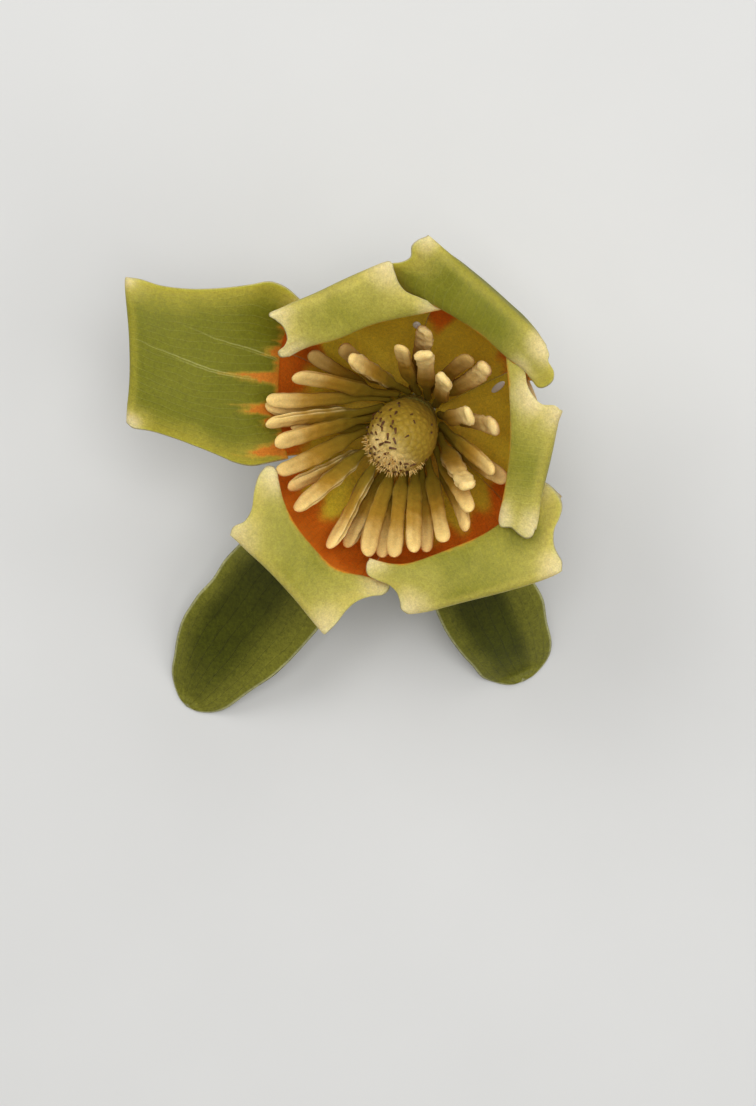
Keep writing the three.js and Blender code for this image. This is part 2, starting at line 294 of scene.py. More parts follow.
@dataclass
class Graph:
    """Adds nodes to one node tree and links them. A material's graph also holds its Principled BSDF."""

    tree: NodeTree
    shader: Optional[Node] = None

    def add(self, kind: str, inputs: Optional[dict] = None, **settings: Any) -> Node:
        """Adds a node.

        Args:
            kind: The node's type name.
            inputs: Values or sockets to feed in, by socket name or number.
            **settings: The node's own properties.

        Returns:
            The new node.
        """
        node = self.tree.nodes.new(kind)
        for key, setting in settings.items():
            setattr(node, key, setting)
        for key, value in (inputs or {}).items():
            self.feed(node.inputs[key], value)
        return node

    def feed(self, socket: Socket, value: Any) -> None:
        """Links or sets one input.

        Args:
            socket: The input.
            value: A socket to link from, or a plain value.
        """
        if isinstance(value, Socket):
            self.tree.links.new(value, socket)
        else:
            socket.default_value = value

    def shade(self, inputs: dict) -> None:
        """Links or sets the material shader's inputs."""
        for key, value in inputs.items():
            self.feed(self.shader.inputs[key], value)

    def read(self, name: str) -> Socket:
        """The value that a mesh carries under a name."""
        return self.add("ShaderNodeAttribute", attribute_name=name).outputs["Fac"]

    def calculated(self, operation: str, first: Value, second: Value = 0.0) -> Socket:
        """One step of arithmetic, by the Math node's name for it."""
        return self.add("ShaderNodeMath", {0: first, 1: second}, operation=operation).outputs[0]

    def plus(self, first: Value, second: Value) -> Socket:
        """Adds two numbers."""
        return self.calculated("ADD", first, second)

    def minus(self, first: Value, second: Value) -> Socket:
        """Takes the second number from the first."""
        return self.calculated("SUBTRACT", first, second)

    def times(self, first: Value, second: Value) -> Socket:
        """Multiplies two numbers."""
        return self.calculated("MULTIPLY", first, second)

    def size(self, number: Value) -> Socket:
        """A number without its sign."""
        return self.calculated("ABSOLUTE", number)

    def step(self, value: Value, low: float, high: float, start: float = 0.0, end: float = 1.0) -> Socket:
        """A smooth step between two values.

        Args:
            value: The number to step.
            low: Where the step starts.
            high: Where it ends.
            start: The result below low.
            end: The result above high.

        Returns:
            The stepped number.
        """
        if low > high:
            low, high, start, end = high, low, end, start
        sizes = {"Value": value, "From Min": low, "From Max": high, "To Min": start, "To Max": end}
        return self.add("ShaderNodeMapRange", sizes, interpolation_type="SMOOTHSTEP").outputs["Result"]

    def cloud(self, inputs: dict, **settings: Any) -> Socket:
        """Soft noise on the piece's own coordinates."""
        where = self.add("ShaderNodeTexCoord").outputs["Object"]
        return self.add("ShaderNodeTexNoise", {"Vector": where, **inputs}, **settings).outputs["Fac"]

    def mix(self, share: Value, first: Value, second: Value, blend: str = "MIX") -> Socket:
        """Mixes two colours."""
        node = self.add("ShaderNodeMix", {0: share, 6: first, 7: second}, data_type="RGBA", blend_type=blend)
        return node.outputs[2]

    def lay(self, under: Value, tone: Value, mask: Value, share: float) -> Socket:
        """Lays a share of a tone over a colour, where a mask is."""
        return self.mix(self.times(mask, share), under, tone)

    def fade(self, under: Value, tone: Value, value: Value, fade: Fade) -> Socket:
        """Lays a tone over a colour by a soft step of a value."""
        return self.mix(self.step(value, *fade), under, tone)

    def shaded(self, tone: Value, brightness: Value) -> Socket:
        """A colour made lighter or darker."""
        grey = self.add("ShaderNodeCombineColor", {key: brightness for key in ("Red", "Green", "Blue")})
        return self.mix(1.0, tone, grey.outputs["Color"], "MULTIPLY")

    def use(self, group: NodeTree, inputs: dict) -> Any:
        """Places a node group, with values or sockets by its own input names, and gives its outputs."""
        return self.add("ShaderNodeGroup", inputs, node_tree=group).outputs

    def relief(self, height: Value, depth: float, strength: float, under: Optional[Socket] = None) -> Socket:
        """A bump from a height.

        Args:
            height: The height, 0 to 1.
            depth: How deep 1 is, in millimetres.
            strength: How strong the bump is.
            under: A normal that this bump lies on.

        Returns:
            The bumped normal.
        """
        inputs = {"Height": height, "Distance": depth * MM, "Strength": strength}
        if under is not None:
            inputs["Normal"] = under
        return self.add("ShaderNodeBump", inputs).outputs["Normal"]


def new_group(name: str, takes: dict[str, float], gives: Iterable[str]) -> tuple[Graph, Any, Any]:
    """Starts a shader node group of plain numbers.

    Args:
        name: The group's name.
        takes: Its inputs and their usual values.
        gives: Its outputs.

    Returns:
        The graph, the values that come in and the sockets that take what goes out.
    """
    tree = bpy.data.node_groups.new(name, "ShaderNodeTree")
    for key, usual in takes.items():
        socket = tree.interface.new_socket(key, in_out="INPUT", socket_type="NodeSocketFloat")
        socket.default_value = usual
    for key in gives:
        tree.interface.new_socket(key, in_out="OUTPUT", socket_type="NodeSocketFloat")
    graph = Graph(tree)
    return graph, graph.add("NodeGroupInput").outputs, graph.add("NodeGroupOutput").inputs


@dataclass
class TissueEffects:
    """The node groups that the living tissues share, each built once."""

    cloud_scale: float = 0.45
    cell_share: float = 0.45
    middle_height: float = 0.72
    contrast_gain: float = 2.2
    patch_fade: Fade = (0.38, 0.66)
    vein_waver: float = 0.05
    first_vein_row: float = 4.0
    vein_fade: Fade = (0.0, 1.4)

    def __post_init__(self) -> None:
        """Builds every group."""
        self.grain = self.build_grain()
        self.patches = self.build_patches()
        self.veins = self.build_veins()
        self.vein = self.build_vein()

    def build_grain(self) -> NodeTree:
        """Fine cell-like speckle.

        Returns:
            A group that gives a brightness round 1, and a height from 0 to 1.
        """
        graph, into, out = new_group("Cell grain", {"Cells Per Metre": 2600.0, "Contrast": 0.25},
                                     ("Brightness", "Height"))
        where, scale = graph.add("ShaderNodeTexCoord").outputs["Object"], into["Cells Per Metre"]
        cells = graph.add("ShaderNodeTexVoronoi", {"Vector": where, "Scale": scale}).outputs["Distance"]
        clouds = graph.cloud({"Scale": graph.times(scale, self.cloud_scale), "Detail": 3.0, "Roughness": 0.6})
        both = graph.plus(graph.times(cells, self.cell_share), clouds)
        spread = graph.times(graph.minus(both, self.middle_height),
                             graph.times(into["Contrast"], self.contrast_gain))
        graph.feed(out["Brightness"], graph.plus(spread, 1.0))
        graph.feed(out["Height"], both)
        return graph.tree

    def build_patches(self) -> NodeTree:
        """Wide soft patches.

        Returns:
            A group that gives a mask from 0 to 1 and a signed waver round 0.
        """
        graph, into, out = new_group("Soft patches", {"Patches Per Metre": 220.0, "Shift": 0.0},
                                     ("Mask", "Waver"))
        cloud = graph.cloud({"W": into["Shift"], "Scale": into["Patches Per Metre"], "Detail": 2.5},
                            noise_dimensions="4D")
        graph.feed(out["Mask"], graph.step(cloud, *self.patch_fade))
        graph.feed(out["Waver"], graph.minus(cloud, 0.5))
        return graph.tree

    def build_veins(self) -> NodeTree:
        """Even, thin veins along a leaf, with a little waver.

        Returns:
            A group that gives 1 on a vein and 0 between.
        """
        graph, into, out = new_group("Parallel veins", {"Side": 0.0, "Count": 9.0, "Width": 0.08,
                                                        "Waver": 0.2}, ("Mask",))
        cloud = graph.cloud({"Scale": 190.0, "Detail": 1.0})
        moved = graph.times(graph.minus(cloud, 0.5), into["Waver"])
        count = graph.times(graph.plus(into["Side"], moved), into["Count"])
        off = graph.size(graph.minus(graph.calculated("FRACT", count), 0.5))
        graph.feed(out["Mask"], graph.step(graph.calculated("DIVIDE", off, into["Width"]), 1.0, 0.0))
        return graph.tree

    def build_vein(self) -> NodeTree:
        """One vein that crosses a petal at a slant.

        Returns:
            A group that gives 1 on the vein, fading out past its last row.
        """
        graph, into, out = new_group("Single vein", {"Side": 0.0, "Row": 0.0, "Start": 0.0, "Slope": 0.0,
                                                     "Width": 0.01, "Last Row": 6.0}, ("Mask",))
        cloud = graph.cloud({"Scale": 260.0, "Detail": 2.0})
        waver = graph.times(graph.minus(cloud, 0.5), self.vein_waver)
        on_row = graph.times(graph.minus(into["Row"], self.first_vein_row), into["Slope"])
        line = graph.plus(graph.plus(into["Start"], on_row), waver)
        off = graph.size(graph.minus(into["Side"], line))
        on_line = graph.step(graph.calculated("DIVIDE", off, into["Width"]), 1.0, 0.0)
        left = graph.minus(into["Last Row"], into["Row"])
        graph.feed(out["Mask"], graph.times(on_line, graph.step(left, *self.vein_fade)))
        return graph.tree


# ---- Finishes ----


class Finish:
    """A finish, which paints one material on a bare Principled BSDF."""

    name: str

    def paint(self, graph: Graph) -> None:
        """Paints the material.

        Args:
            graph: The material's graph.
        """
        raise NotImplementedError

    def material(self) -> Material:
        """Builds the material.

        Returns:
            The material, which may read values that its piece carries.
        """
        material = bpy.data.materials.new(self.name)
        material.use_nodes = True
        shader = next(n for n in material.node_tree.nodes if n.type == "BSDF_PRINCIPLED")
        self.paint(Graph(material.node_tree, shader))
        return material


@dataclass(frozen=True)
class Flesh:
    """How a tissue takes light: its roughness, the depth of its grain, and how it glows and shines."""

    rough: tuple[float, float]
    grain_depth: float = 0.04
    glow: float = 0.0
    glow_tint: tuple[float, float, float] = (1.0, 0.7, 0.2)
    glow_depth: float = 0.6
    shine: float = 0.5
    heights: tuple[float, float] = (0.4, 1.1)
    grain_strength: float = 0.8

    def roughness(self, graph: Graph, height: Value) -> Socket:
        """A roughness that follows the grain's height."""
        return graph.step(height, *self.heights, *self.rough)

    def lay(self, graph: Graph, skin: Value, grain: Any, rough: Optional[Value] = None,
            under: Optional[Socket] = None) -> None:
        """Feeds a material's shader.

        Args:
            graph: The material's graph.
            skin: The tissue's colour.
            grain: What the grain group gives.
            rough: A roughness other than the grain's own.
            under: A normal that the grain lies on.
        """
        height = grain["Height"]
        graph.shade({"Base Color": graph.shaded(skin, grain["Brightness"]),
                     "Roughness": self.roughness(graph, height) if rough is None else rough,
                     "Normal": graph.relief(height, self.grain_depth, self.grain_strength, under),
                     "Specular IOR Level": self.shine})
        if self.glow:
            graph.shade({"Subsurface Weight": self.glow, "Subsurface Radius": self.glow_tint,
                         "Subsurface Scale": self.glow_depth * MM})


@dataclass(frozen=True)
class PetalFinish(Finish):
    """Satin petal: olive green with pale edges, and a flamed orange band inside below the throat."""

    effects: TissueEffects
    name: str
    paleness: float
    pale_reach: float
    blush_soft: float
    veins: tuple[tuple[float, float, float], ...]
    green: Colour = colour(104, 105, 14)
    yellow: Colour = colour(166, 157, 62)
    margin_green: Colour = colour(152, 144, 42)
    margin: Colour = colour(192, 176, 92)
    cream: Colour = colour(214, 196, 142)
    # blush: the band's orange, brighter than on the lit lip, as painted light deep in the shaded cup
    blush: Colour = colour(230, 128, 34)
    blush_deep: Colour = colour(212, 102, 22)
    blush_edge: Colour = colour(200, 150, 48)
    flame: Colour = colour(196, 120, 36)
    # wall and foot: the cup's inner yellow, made lighter than its own colour as painted light in the shaded
    # cup
    wall: Colour = colour(234, 212, 60)
    foot: Colour = colour(204, 174, 50)
    outside: Colour = colour(172, 172, 78)
    end: Colour = colour(192, 178, 90)
    vein_colour: Colour = colour(176, 174, 104)
    patch_share: float = 0.42
    line_share: float = 0.08
    line_share_in_cup: float = 0.16
    vein_width: float = 0.014
    vein_share: float = 0.55
    foot_rows: Fade = (0.4, 2.2)
    outside_fade: Fade = (0.6, 0.4, 0.0, 0.8)
    lip_rows: Fade = (3.2, 3.9)
    rim_fade: Fade = (0.42, 0.1, 0.0, 0.6)
    wet_rows: Fade = (3.6, 2.4)
    wetness: float = 0.12
    waver: float = 3.0
    margin_fade: Fade = (5.0, 0.0, 0.0, 0.9)
    fold_pale_and_light: Fade = (1.8, 0.2, 0.0, 0.6)
    throat_fade: Fade = (-1.1, -0.1, 0.0, 0.3)
    end_fade: Fade = (1.9, 0.4, 0.0, 0.5)
    corner_fade: Fade = (0.2, 0.0, 0.95)
    fray_above: tuple[float, float] = (0.9, 2)
    fray_below: float = 1.8
    band_top: float = 0.16
    band_foot: Fade = (-2.0, 2.4)
    inside_fade: Fade = (0.35, 0.65, 0.22, 1.0)
    line_share_in_band: float = 0.35
    deep_fade: Fade = (0.4, 3.5, 0.0, 0.5)
    edge_fade: tuple[float, float] = (0.35, 3)
    edge_from: float = -0.1
    edge_share: float = 0.7
    flame_rows: Fade = (3.95, 4.15)
    halo_reach: float = 3.0
    halo_share: float = 0.5
    flesh: Flesh = Flesh((0.5, 0.66), 0.03, 0.3, glow_depth=1.2, shine=0.18)

    def paint(self, graph: Graph) -> None:
        """Paints the material.

        Args:
            graph: The material's graph.
        """
        row, side, inner = graph.read("row"), graph.read("side"), graph.read("inner")
        patches = graph.use(self.effects.patches, {"Patches Per Metre": 210.0})
        fray = graph.use(self.effects.patches, {"Patches Per Metre": 900.0, "Shift": 3.0})
        grain = graph.use(self.effects.grain, {"Cells Per Metre": 4300.0, "Contrast": 0.28})
        lines = graph.use(self.effects.veins, {"Side": side, "Count": 11.0, "Width": 0.1, "Waver": 0.12})

        tone = graph.mix(self.paleness, self.green, self.yellow)
        leaf = graph.lay(tone, self.green, patches["Mask"], self.patch_share)
        leaf = graph.lay(leaf, self.vein_colour, lines["Mask"], self.line_share)
        for start, slope, last in self.veins:
            one = graph.use(self.effects.vein, {"Side": side, "Row": row, "Start": start, "Slope": slope,
                                                "Width": self.vein_width, "Last Row": last})
            leaf = graph.lay(leaf, self.vein_colour, one["Mask"], self.vein_share)
        leaf = self.with_margins(graph, leaf, patches["Waver"])
        # painted light: the inner wall in its lightened colours, darker toward the foot
        wall = graph.fade(self.foot, self.wall, row, self.foot_rows)
        wall = graph.lay(wall, self.foot, lines["Mask"], self.line_share_in_cup)
        wall = graph.fade(wall, self.outside, inner, self.outside_fade)
        skin = graph.fade(wall, leaf, row, self.lip_rows)
        skin = self.with_blush(graph, skin, inner, fray["Waver"], lines["Mask"])

        # cream on the petal's thin rim: partly its pale margin, partly a painted edge highlight
        rim_away = graph.size(graph.minus(inner, 0.5))
        skin = graph.fade(skin, self.cream, rim_away, self.rim_fade)
        wet = graph.times(graph.step(row, *self.wet_rows), self.wetness)
        rough = graph.minus(self.flesh.roughness(graph, grain["Height"]), wet)
        ridges = graph.relief(lines["Mask"], depth=0.035, strength=0.6)
        self.flesh.lay(graph, skin, grain, rough, ridges)

    def with_margins(self, graph: Graph, leaf: Value, waver: Value) -> Socket:
        """Lays the yellow-green margins and the cream corners on the leaf colour.

        Args:
            graph: The material's graph.
            leaf: The leaf colour.
            waver: A wide waver round 0.

        Returns:
            The colour with its margins.
        """
        moved = graph.times(waver, self.waver)
        pale = graph.mix(self.paleness, self.margin_green, self.margin)
        edge = graph.plus(graph.read("margin"), moved)
        leaf = graph.mix(graph.step(edge, *self.margin_fade), leaf, pale)
        # paler along the fold: partly the lip's pale margin, partly painted light where the lip turns down
        # away from the lamps
        leaf = graph.mix(graph.step(graph.size(graph.read("fold")), *self.fold_pale_and_light), leaf, pale)
        leaf = graph.mix(graph.step(graph.read("above"), *self.throat_fade), leaf, pale)
        corner = graph.plus(graph.read("corner"), moved)
        far, near, *shares = self.end_fade
        leaf = graph.mix(graph.step(corner, far * self.pale_reach, near * self.pale_reach, *shares),
                         leaf, self.end)
        return graph.mix(graph.step(corner, self.pale_reach, *self.corner_fade), leaf, self.cream)

    def with_blush(self, graph: Graph, skin: Value, inner: Value, fray: Value, lines: Value) -> Socket:
        """Lays the orange band on the skin, bright inside and faint outside.

        Args:
            graph: The material's graph.
            skin: The colour below it.
            inner: 1 on the petal's inner face and 0 on its outer one.
            fray: A fine waver round 0.
            lines: The mask of the veins.

        Returns:
            The colour with the band.
        """
        hard, soft = self.fray_above
        above = graph.plus(graph.read("above"), graph.times(fray, hard + soft * self.blush_soft))
        below = graph.plus(graph.read("below"), graph.times(fray, self.fray_below))
        over_foot = graph.step(below, *self.band_foot)
        band = graph.times(graph.step(above, -self.blush_soft, self.band_top), over_foot)
        strong = graph.step(inner, *self.inside_fade)
        tone = graph.plus(graph.times(lines, self.line_share_in_band), graph.step(above, *self.deep_fade))
        orange = graph.mix(tone, self.blush, self.blush_deep)
        hard, soft = self.edge_fade
        edge = graph.step(above, hard + soft * self.blush_soft, self.edge_from, 0.0, self.edge_share)
        orange = graph.mix(edge, orange, self.blush_edge)
        # painted light: a dimmer copy of the orange on the lit lip, the brighter blush inside the cup
        orange = graph.fade(orange, self.flame, graph.read("row"), self.flame_rows)
        halo = graph.times(graph.step(above, -self.halo_reach * self.blush_soft, 0.0), over_foot)
        skin = graph.lay(skin, self.blush_edge, halo, self.halo_share)
        return graph.mix(graph.times(band, strong), skin, orange)


@dataclass(frozen=True)
class SepalFinish(Finish):
    """Satin sepal: dark olive with painted shade and light, a lighter edge, a pale rim and a few faint veins.
    """

    effects: TissueEffects
    name: str = "sepal_skin"
    # leaf: the sepal's olive, darkened as painted shade for the petals' shadow; leaf_dark also colours its
    # random patches and veins
    leaf: Colour = colour(66, 69, 5)
    leaf_dark: Colour = colour(46, 47, 1)
    margin: Colour = colour(112, 110, 34)
    rim: Colour = colour(166, 164, 116)
    foot: Colour = colour(128, 126, 46)
    patch_share: float = 0.4
    line_share: float = 0.5
    lit_share: float = 0.72
    waver: float = 2.5
    petal_shade_fade: Fade = (0.85, 0.5, 0.0, 0.55)
    tip_fade: Fade = (0.76, 1.0, 0.0, 0.55)
    margin_fade: Fade = (4.2, 0.0, 0.0, 0.85)
    foot_fade: Fade = (0.22, 0.0, 0.0, 0.7)
    outside_fade: Fade = (0.6, 0.4, 0.0, 0.35)
    rim_fade: Fade = (0.5, 0.15, 0.0, 0.85)
    flesh: Flesh = Flesh((0.45, 0.62), glow=0.1, glow_tint=(0.7, 0.7, 0.2), glow_depth=0.8, shine=0.16)

    def paint(self, graph: Graph) -> None:
        """Paints the material.

        Args:
            graph: The material's graph.
        """
        side, along, inner = graph.read("side"), graph.read("along"), graph.read("inner")
        patches = graph.use(self.effects.patches, {"Patches Per Metre": 160.0, "Shift": 5.0})
        grain = graph.use(self.effects.grain, {"Cells Per Metre": 3600.0, "Contrast": 0.45})
        lines = graph.use(self.effects.veins, {"Side": side, "Count": 4.5, "Width": 0.07, "Waver": 0.1})
        leaf = graph.lay(self.leaf, self.leaf_dark, patches["Mask"], self.patch_share)
        leaf = graph.lay(leaf, self.leaf_dark, lines["Mask"], self.line_share)
        # painted shade: darker toward the foot, where the petals shade the sepal
        leaf = graph.fade(leaf, self.leaf_dark, along, self.petal_shade_fade)
        # painted light: the margin colour laid over the side of the sepal that faces the light
        leaf = graph.lay(leaf, self.margin, graph.read("lit"), self.lit_share)
        leaf = graph.fade(leaf, self.margin, along, self.tip_fade)
        edge = graph.plus(graph.read("margin"), graph.times(patches["Waver"], self.waver))
        leaf = graph.fade(leaf, self.margin, edge, self.margin_fade)
        leaf = graph.fade(leaf, self.foot, along, self.foot_fade)
        leaf = graph.fade(leaf, self.foot, inner, self.outside_fade)
        leaf = graph.fade(leaf, self.rim, graph.read("margin"), self.rim_fade)
        self.flesh.lay(graph, leaf, grain, under=graph.relief(lines["Mask"], depth=0.08, strength=0.7))


@dataclass(frozen=True)
class StamenFinish(Finish):
    """Matt anther: ochre at the foot, buff toward the tip, darker in its grooves."""

    effects: TissueEffects
    name: str = "stamen_skin"
    # foot: olive ochre, lightened as painted light where the feet lie in the cup's shade
    foot: Colour = colour(138, 116, 26)
    body: Colour = colour(180, 134, 40)
    tip: Colour = colour(238, 206, 130)
    groove: Colour = colour(134, 96, 14)
    lip: Colour = colour(238, 212, 144)
    waver: float = 0.25
    body_fade: Fade = (0.28, 0.84)
    tip_fade: Fade = (0.64, 0.95, 0.0, 0.92)
    tint_share: float = 0.45
    groove_share: float = 0.8
    lip_share: float = 0.85
    flesh: Flesh = Flesh((0.55, 0.75), 0.03, 0.2, (1.0, 0.6, 0.25), shine=0.3)

    def paint(self, graph: Graph) -> None:
        """Paints the material.

        Args:
            graph: The material's graph.
        """
        patches = graph.use(self.effects.patches, {"Patches Per Metre": 420.0, "Shift": 9.0})
        grain = graph.use(self.effects.grain, {"Cells Per Metre": 5200.0, "Contrast": 0.2})
        along = graph.plus(graph.read("along"), graph.times(patches["Waver"], self.waver))
        skin = graph.fade(self.foot, self.body, along, self.body_fade)
        skin = graph.fade(skin, self.tip, along, self.tip_fade)
        # tint: a random tone for each stamen, and painted shade on the ones that lie behind and below in
        # shade
        skin = graph.lay(skin, self.groove, graph.read("tint"), self.tint_share)
        skin = graph.lay(skin, self.groove, graph.read("groove"), self.groove_share)
        skin = graph.lay(skin, self.lip, graph.read("lip"), self.lip_share)
        self.flesh.lay(graph, skin, grain, under=graph.relief(patches["Mask"], depth=0.1, strength=0.6))


@dataclass(frozen=True)
class ConeFinish(Finish):
    """Matt pistils: olive yellow, darker in the seams between carpels, cream on the fuzzy side of the top."""

    effects: TissueEffects
    name: str = "pistil_skin"
    carpel: Colour = colour(148, 121, 27)
    seam: Colour = colour(112, 86, 14)
    # foot: lightened a little as painted light in the shade round the cone's foot
    foot: Colour = colour(150, 124, 30)
    fuzz: Colour = colour(238, 208, 136)
    seam_share: float = 0.28
    foot_fade: Fade = (0.7, 0.2, 0.0, 0.8)
    fuzz_fade: Fade = (-0.25, 0.12, 0.35, 1.0)
    flesh: Flesh = Flesh((0.5, 0.72), glow=0.15)

    def paint(self, graph: Graph) -> None:
        """Paints the material.

        Args:
            graph: The material's graph.
        """
        patches = graph.use(self.effects.patches, {"Patches Per Metre": 500.0, "Shift": 12.0})
        grain = graph.use(self.effects.grain, {"Cells Per Metre": 4600.0, "Contrast": 0.3})
        skin = graph.lay(self.carpel, self.seam, graph.read("seam"), self.seam_share)
        skin = graph.fade(skin, self.foot, graph.read("along"), self.foot_fade)
        fuzz = graph.times(graph.read("fuzz"), graph.step(patches["Waver"], *self.fuzz_fade))
        self.flesh.lay(graph, graph.mix(fuzz, skin, self.fuzz), grain)


@dataclass(frozen=True)
class HairFinish(Finish):
    """A small part of one tone that varies a little from place to place, such as stigmas or bristles."""

    effects: TissueEffects
    name: str
    tone: Colour
    other: Colour
    rough: float

    def paint(self, graph: Graph) -> None:
        """Paints the material.

        Args:
            graph: The material's graph.
        """
        patches = graph.use(self.effects.patches, {"Patches Per Metre": 1500.0, "Shift": 2.0})
        grain = graph.use(self.effects.grain, {"Cells Per Metre": 9000.0, "Contrast": 0.2})
        graph.shade({"Base Color": graph.mix(patches["Mask"], self.tone, self.other),
                     "Roughness": self.rough,
                     "Normal": graph.relief(grain["Height"], depth=0.01, strength=0.5)})


@dataclass(frozen=True)
class StalkFinish(Finish):
    """Satin green bark with fine ribs and pale specks; pale pith inside a green ring on the cut."""

    effects: TissueEffects
    name: str = "stalk_skin"
    bark: Colour = colour(104, 116, 46)
    bark_dark: Colour = colour(82, 88, 34)
    speck: Colour = colour(168, 158, 96)
    scar: Colour = colour(134, 112, 56)
    pith: Colour = colour(206, 206, 150)
    wood: Colour = colour(168, 176, 96)
    line_share: float = 0.3
    scar_share: float = 0.8
    speck_fade: Fade = (1.02, 1.12)
    wood_fade: Fade = (0.5, 0.62)
    bark_fade: Fade = (0.84, 0.92)
    flesh: Flesh = Flesh((0.42, 0.64))

    def paint(self, graph: Graph) -> None:
        """Paints the material.

        Args:
            graph: The material's graph.
        """
        patches = graph.use(self.effects.patches, {"Patches Per Metre": 340.0, "Shift": 7.0})
        grain = graph.use(self.effects.grain, {"Cells Per Metre": 3200.0, "Contrast": 0.35})
        lines = graph.use(self.effects.veins, {"Side": graph.read("around"), "Count": 22.0, "Width": 0.2,
                                               "Waver": 0.02})
        bark = graph.mix(patches["Mask"], self.bark, self.bark_dark)
        bark = graph.lay(bark, self.bark_dark, lines["Mask"], self.line_share)
        bark = graph.fade(bark, self.speck, grain["Height"], self.speck_fade)
        bark = graph.lay(bark, self.scar, graph.read("scar"), self.scar_share)
        radius = graph.read("radius")
        cut = graph.fade(self.pith, self.wood, radius, self.wood_fade)
        cut = graph.fade(cut, self.bark, radius, self.bark_fade)
        skin = graph.mix(graph.read("cut"), bark, cut)
        self.flesh.lay(graph, skin, grain, under=graph.relief(lines["Mask"], depth=0.08, strength=0.7))


@dataclass(frozen=True)
class NectarFinish(Finish):
    """Drops of nectar: clear in life, but painted near white and nearly opaque as painted highlight."""

    effects: TissueEffects
    name: str = "nectar_drop"
    tint: Colour = (0.93, 0.95, 0.9, 1.0)
    tint_deep: Colour = (0.86, 0.88, 0.8, 1.0)

    def paint(self, graph: Graph) -> None:
        """Paints the material.

        Args:
            graph: The material's graph.
        """
        patches = graph.use(self.effects.patches, {"Patches Per Metre": 900.0, "Shift": 4.0})
        # near-white colour with little transmission: painted highlight for the drops' glints
        graph.shade({"Base Color": graph.mix(patches["Mask"], self.tint, self.tint_deep),
                     "Roughness": 0.08, "IOR": 1.4, "Transmission Weight": 0.1})


@dataclass(frozen=True)
class FloorFinish(Finish):
    """Matt pale floor with a faint fine tooth."""

    name: str = "pale_floor"
    tone: Colour = (0.62, 0.62, 0.61, 1.0)
    other: Colour = (0.59, 0.59, 0.58, 1.0)

    def paint(self, graph: Graph) -> None:
        """Paints the material.

        Args:
            graph: The material's graph.
        """
        cloud = graph.cloud({"Scale": 40.0, "Detail": 4.0})
        graph.shade({"Base Color": graph.mix(cloud, self.tone, self.other), "Roughness": 0.85,
                     "Normal": graph.relief(cloud, depth=0.05, strength=0.3)})


# ---- Leaf-like blades ----


@dataclass(frozen=True)
class BladeGrid:
    """How finely a blade is cut up: points across one face, and rings along it."""

    across: int
    along: int
    crowding: float = 0.38

    def sides(self) -> Array:
        """Places across a blade, closer together near its edges."""
        even = np.linspace(-1, 1, self.across)
        return (1 - self.crowding) * even + self.crowding * np.sin(even * math.pi / 2)

    def shares(self) -> Array:
        """Places along a blade."""
        return np.linspace(0, 1, self.along)


def blade_skin(middle: Array, normal: Array, half: Array, values: Values) -> Skin:
    """Closes a blade of two faces round its middle surface.

    Args:
        middle: V x S x 3, the middle surface; its first and last rings are drawn to a point.
        normal: V x S x 3, the direction of its outer face.
        half: V x S, half its thickness.
        values: V x S numbers for the material. `inner` is added to them.

    Returns:
        The closed skin.
    """
    rings, across = middle.shape[:2]
    outer = middle + normal * half[..., None]
    inner = middle - normal * half[..., None]
    loops = np.concatenate([outer, inner[:, -2:0:-1]], axis=1)[1:-1]
    ends = np.stack([middle[0].mean(0), middle[-1].mean(0)])
    carried = {}
    for key, grid in values.items():
        both = np.concatenate([grid, grid[:, -2:0:-1]], axis=1)[1:-1]
        carried[key] = with_ends(both, grid[0].mean(), grid[-1].mean())
    facing = np.concatenate([np.zeros(across), np.ones(across - 2)])
    facing[0] = facing[across - 1] = 0.5
    carried["inner"] = with_ends(np.tile(facing, rings - 2), 0.5, 0.5)
    return tube_skin(np.concatenate([loops.reshape(-1, 3), ends]), rings - 2, 2 * across - 2, carried)


def gap_along(points: Array) -> Array:
    """Distance from each point of V x S x 3 to the nearer end of its row, measured along the row."""
    run = np.cumsum(np.pad(np.linalg.norm(np.diff(points, axis=1), axis=-1), ((0, 0), (1, 0))), axis=1)
    return np.minimum(run, run[:, -1:] - run)


# ---- Petals ----

Mark = tuple[float, float, float]
Marks = tuple[Mark, Mark, Mark]


@dataclass(frozen=True)
class WallRow:
    """A level row of a petal's wall."""

    reach: float
    rise: float
    half_span: float


@dataclass(frozen=True)
class TipRow:
    """A row of the turned-down tip: how far it is out and down from the fold, and how wide it still is."""

    out: float
    down: float
    width: float


@dataclass(frozen=True)
class Hem:
    """The outline of one end of a petal's lip: rows, and the edge's turn and reach at each."""

    edge: Edge
    marks: tuple[Mark, ...]
    width: float = 0.75
    fade: tuple[float, float] = (0.5, 1.3)

    def moves(self, line: Array, row: Array) -> Array:
        """How far the edge moves, level, to run through the marks.

        Args:
            line: V x 3, the edge as it is.
            row: V row numbers.

        Returns:
            V x 3 moves, which fade out before the first mark and after the last.
        """
        at, turn, reach = np.array(self.marks).T
        share = np.interp(row, at, np.linspace(0, 1, len(at)))
        goal = centripetal(place(turn, reach, 0), share)
        held = np.clip(row, at[0], at[-1])
        start = np.stack([np.interp(held, row, part) for part in line.T], -1)
        keep = smooth(row, at[0] - self.fade[0], at[0]) * (1 - smooth(row, at[-1], at[-1] + self.fade[1]))
        return (goal - start) * LEVEL * keep[:, None]


@dataclass(frozen=True)
class Flame:
    """A tongue of the orange band that runs up past its edge."""

    side: float
    length: float
    width: float


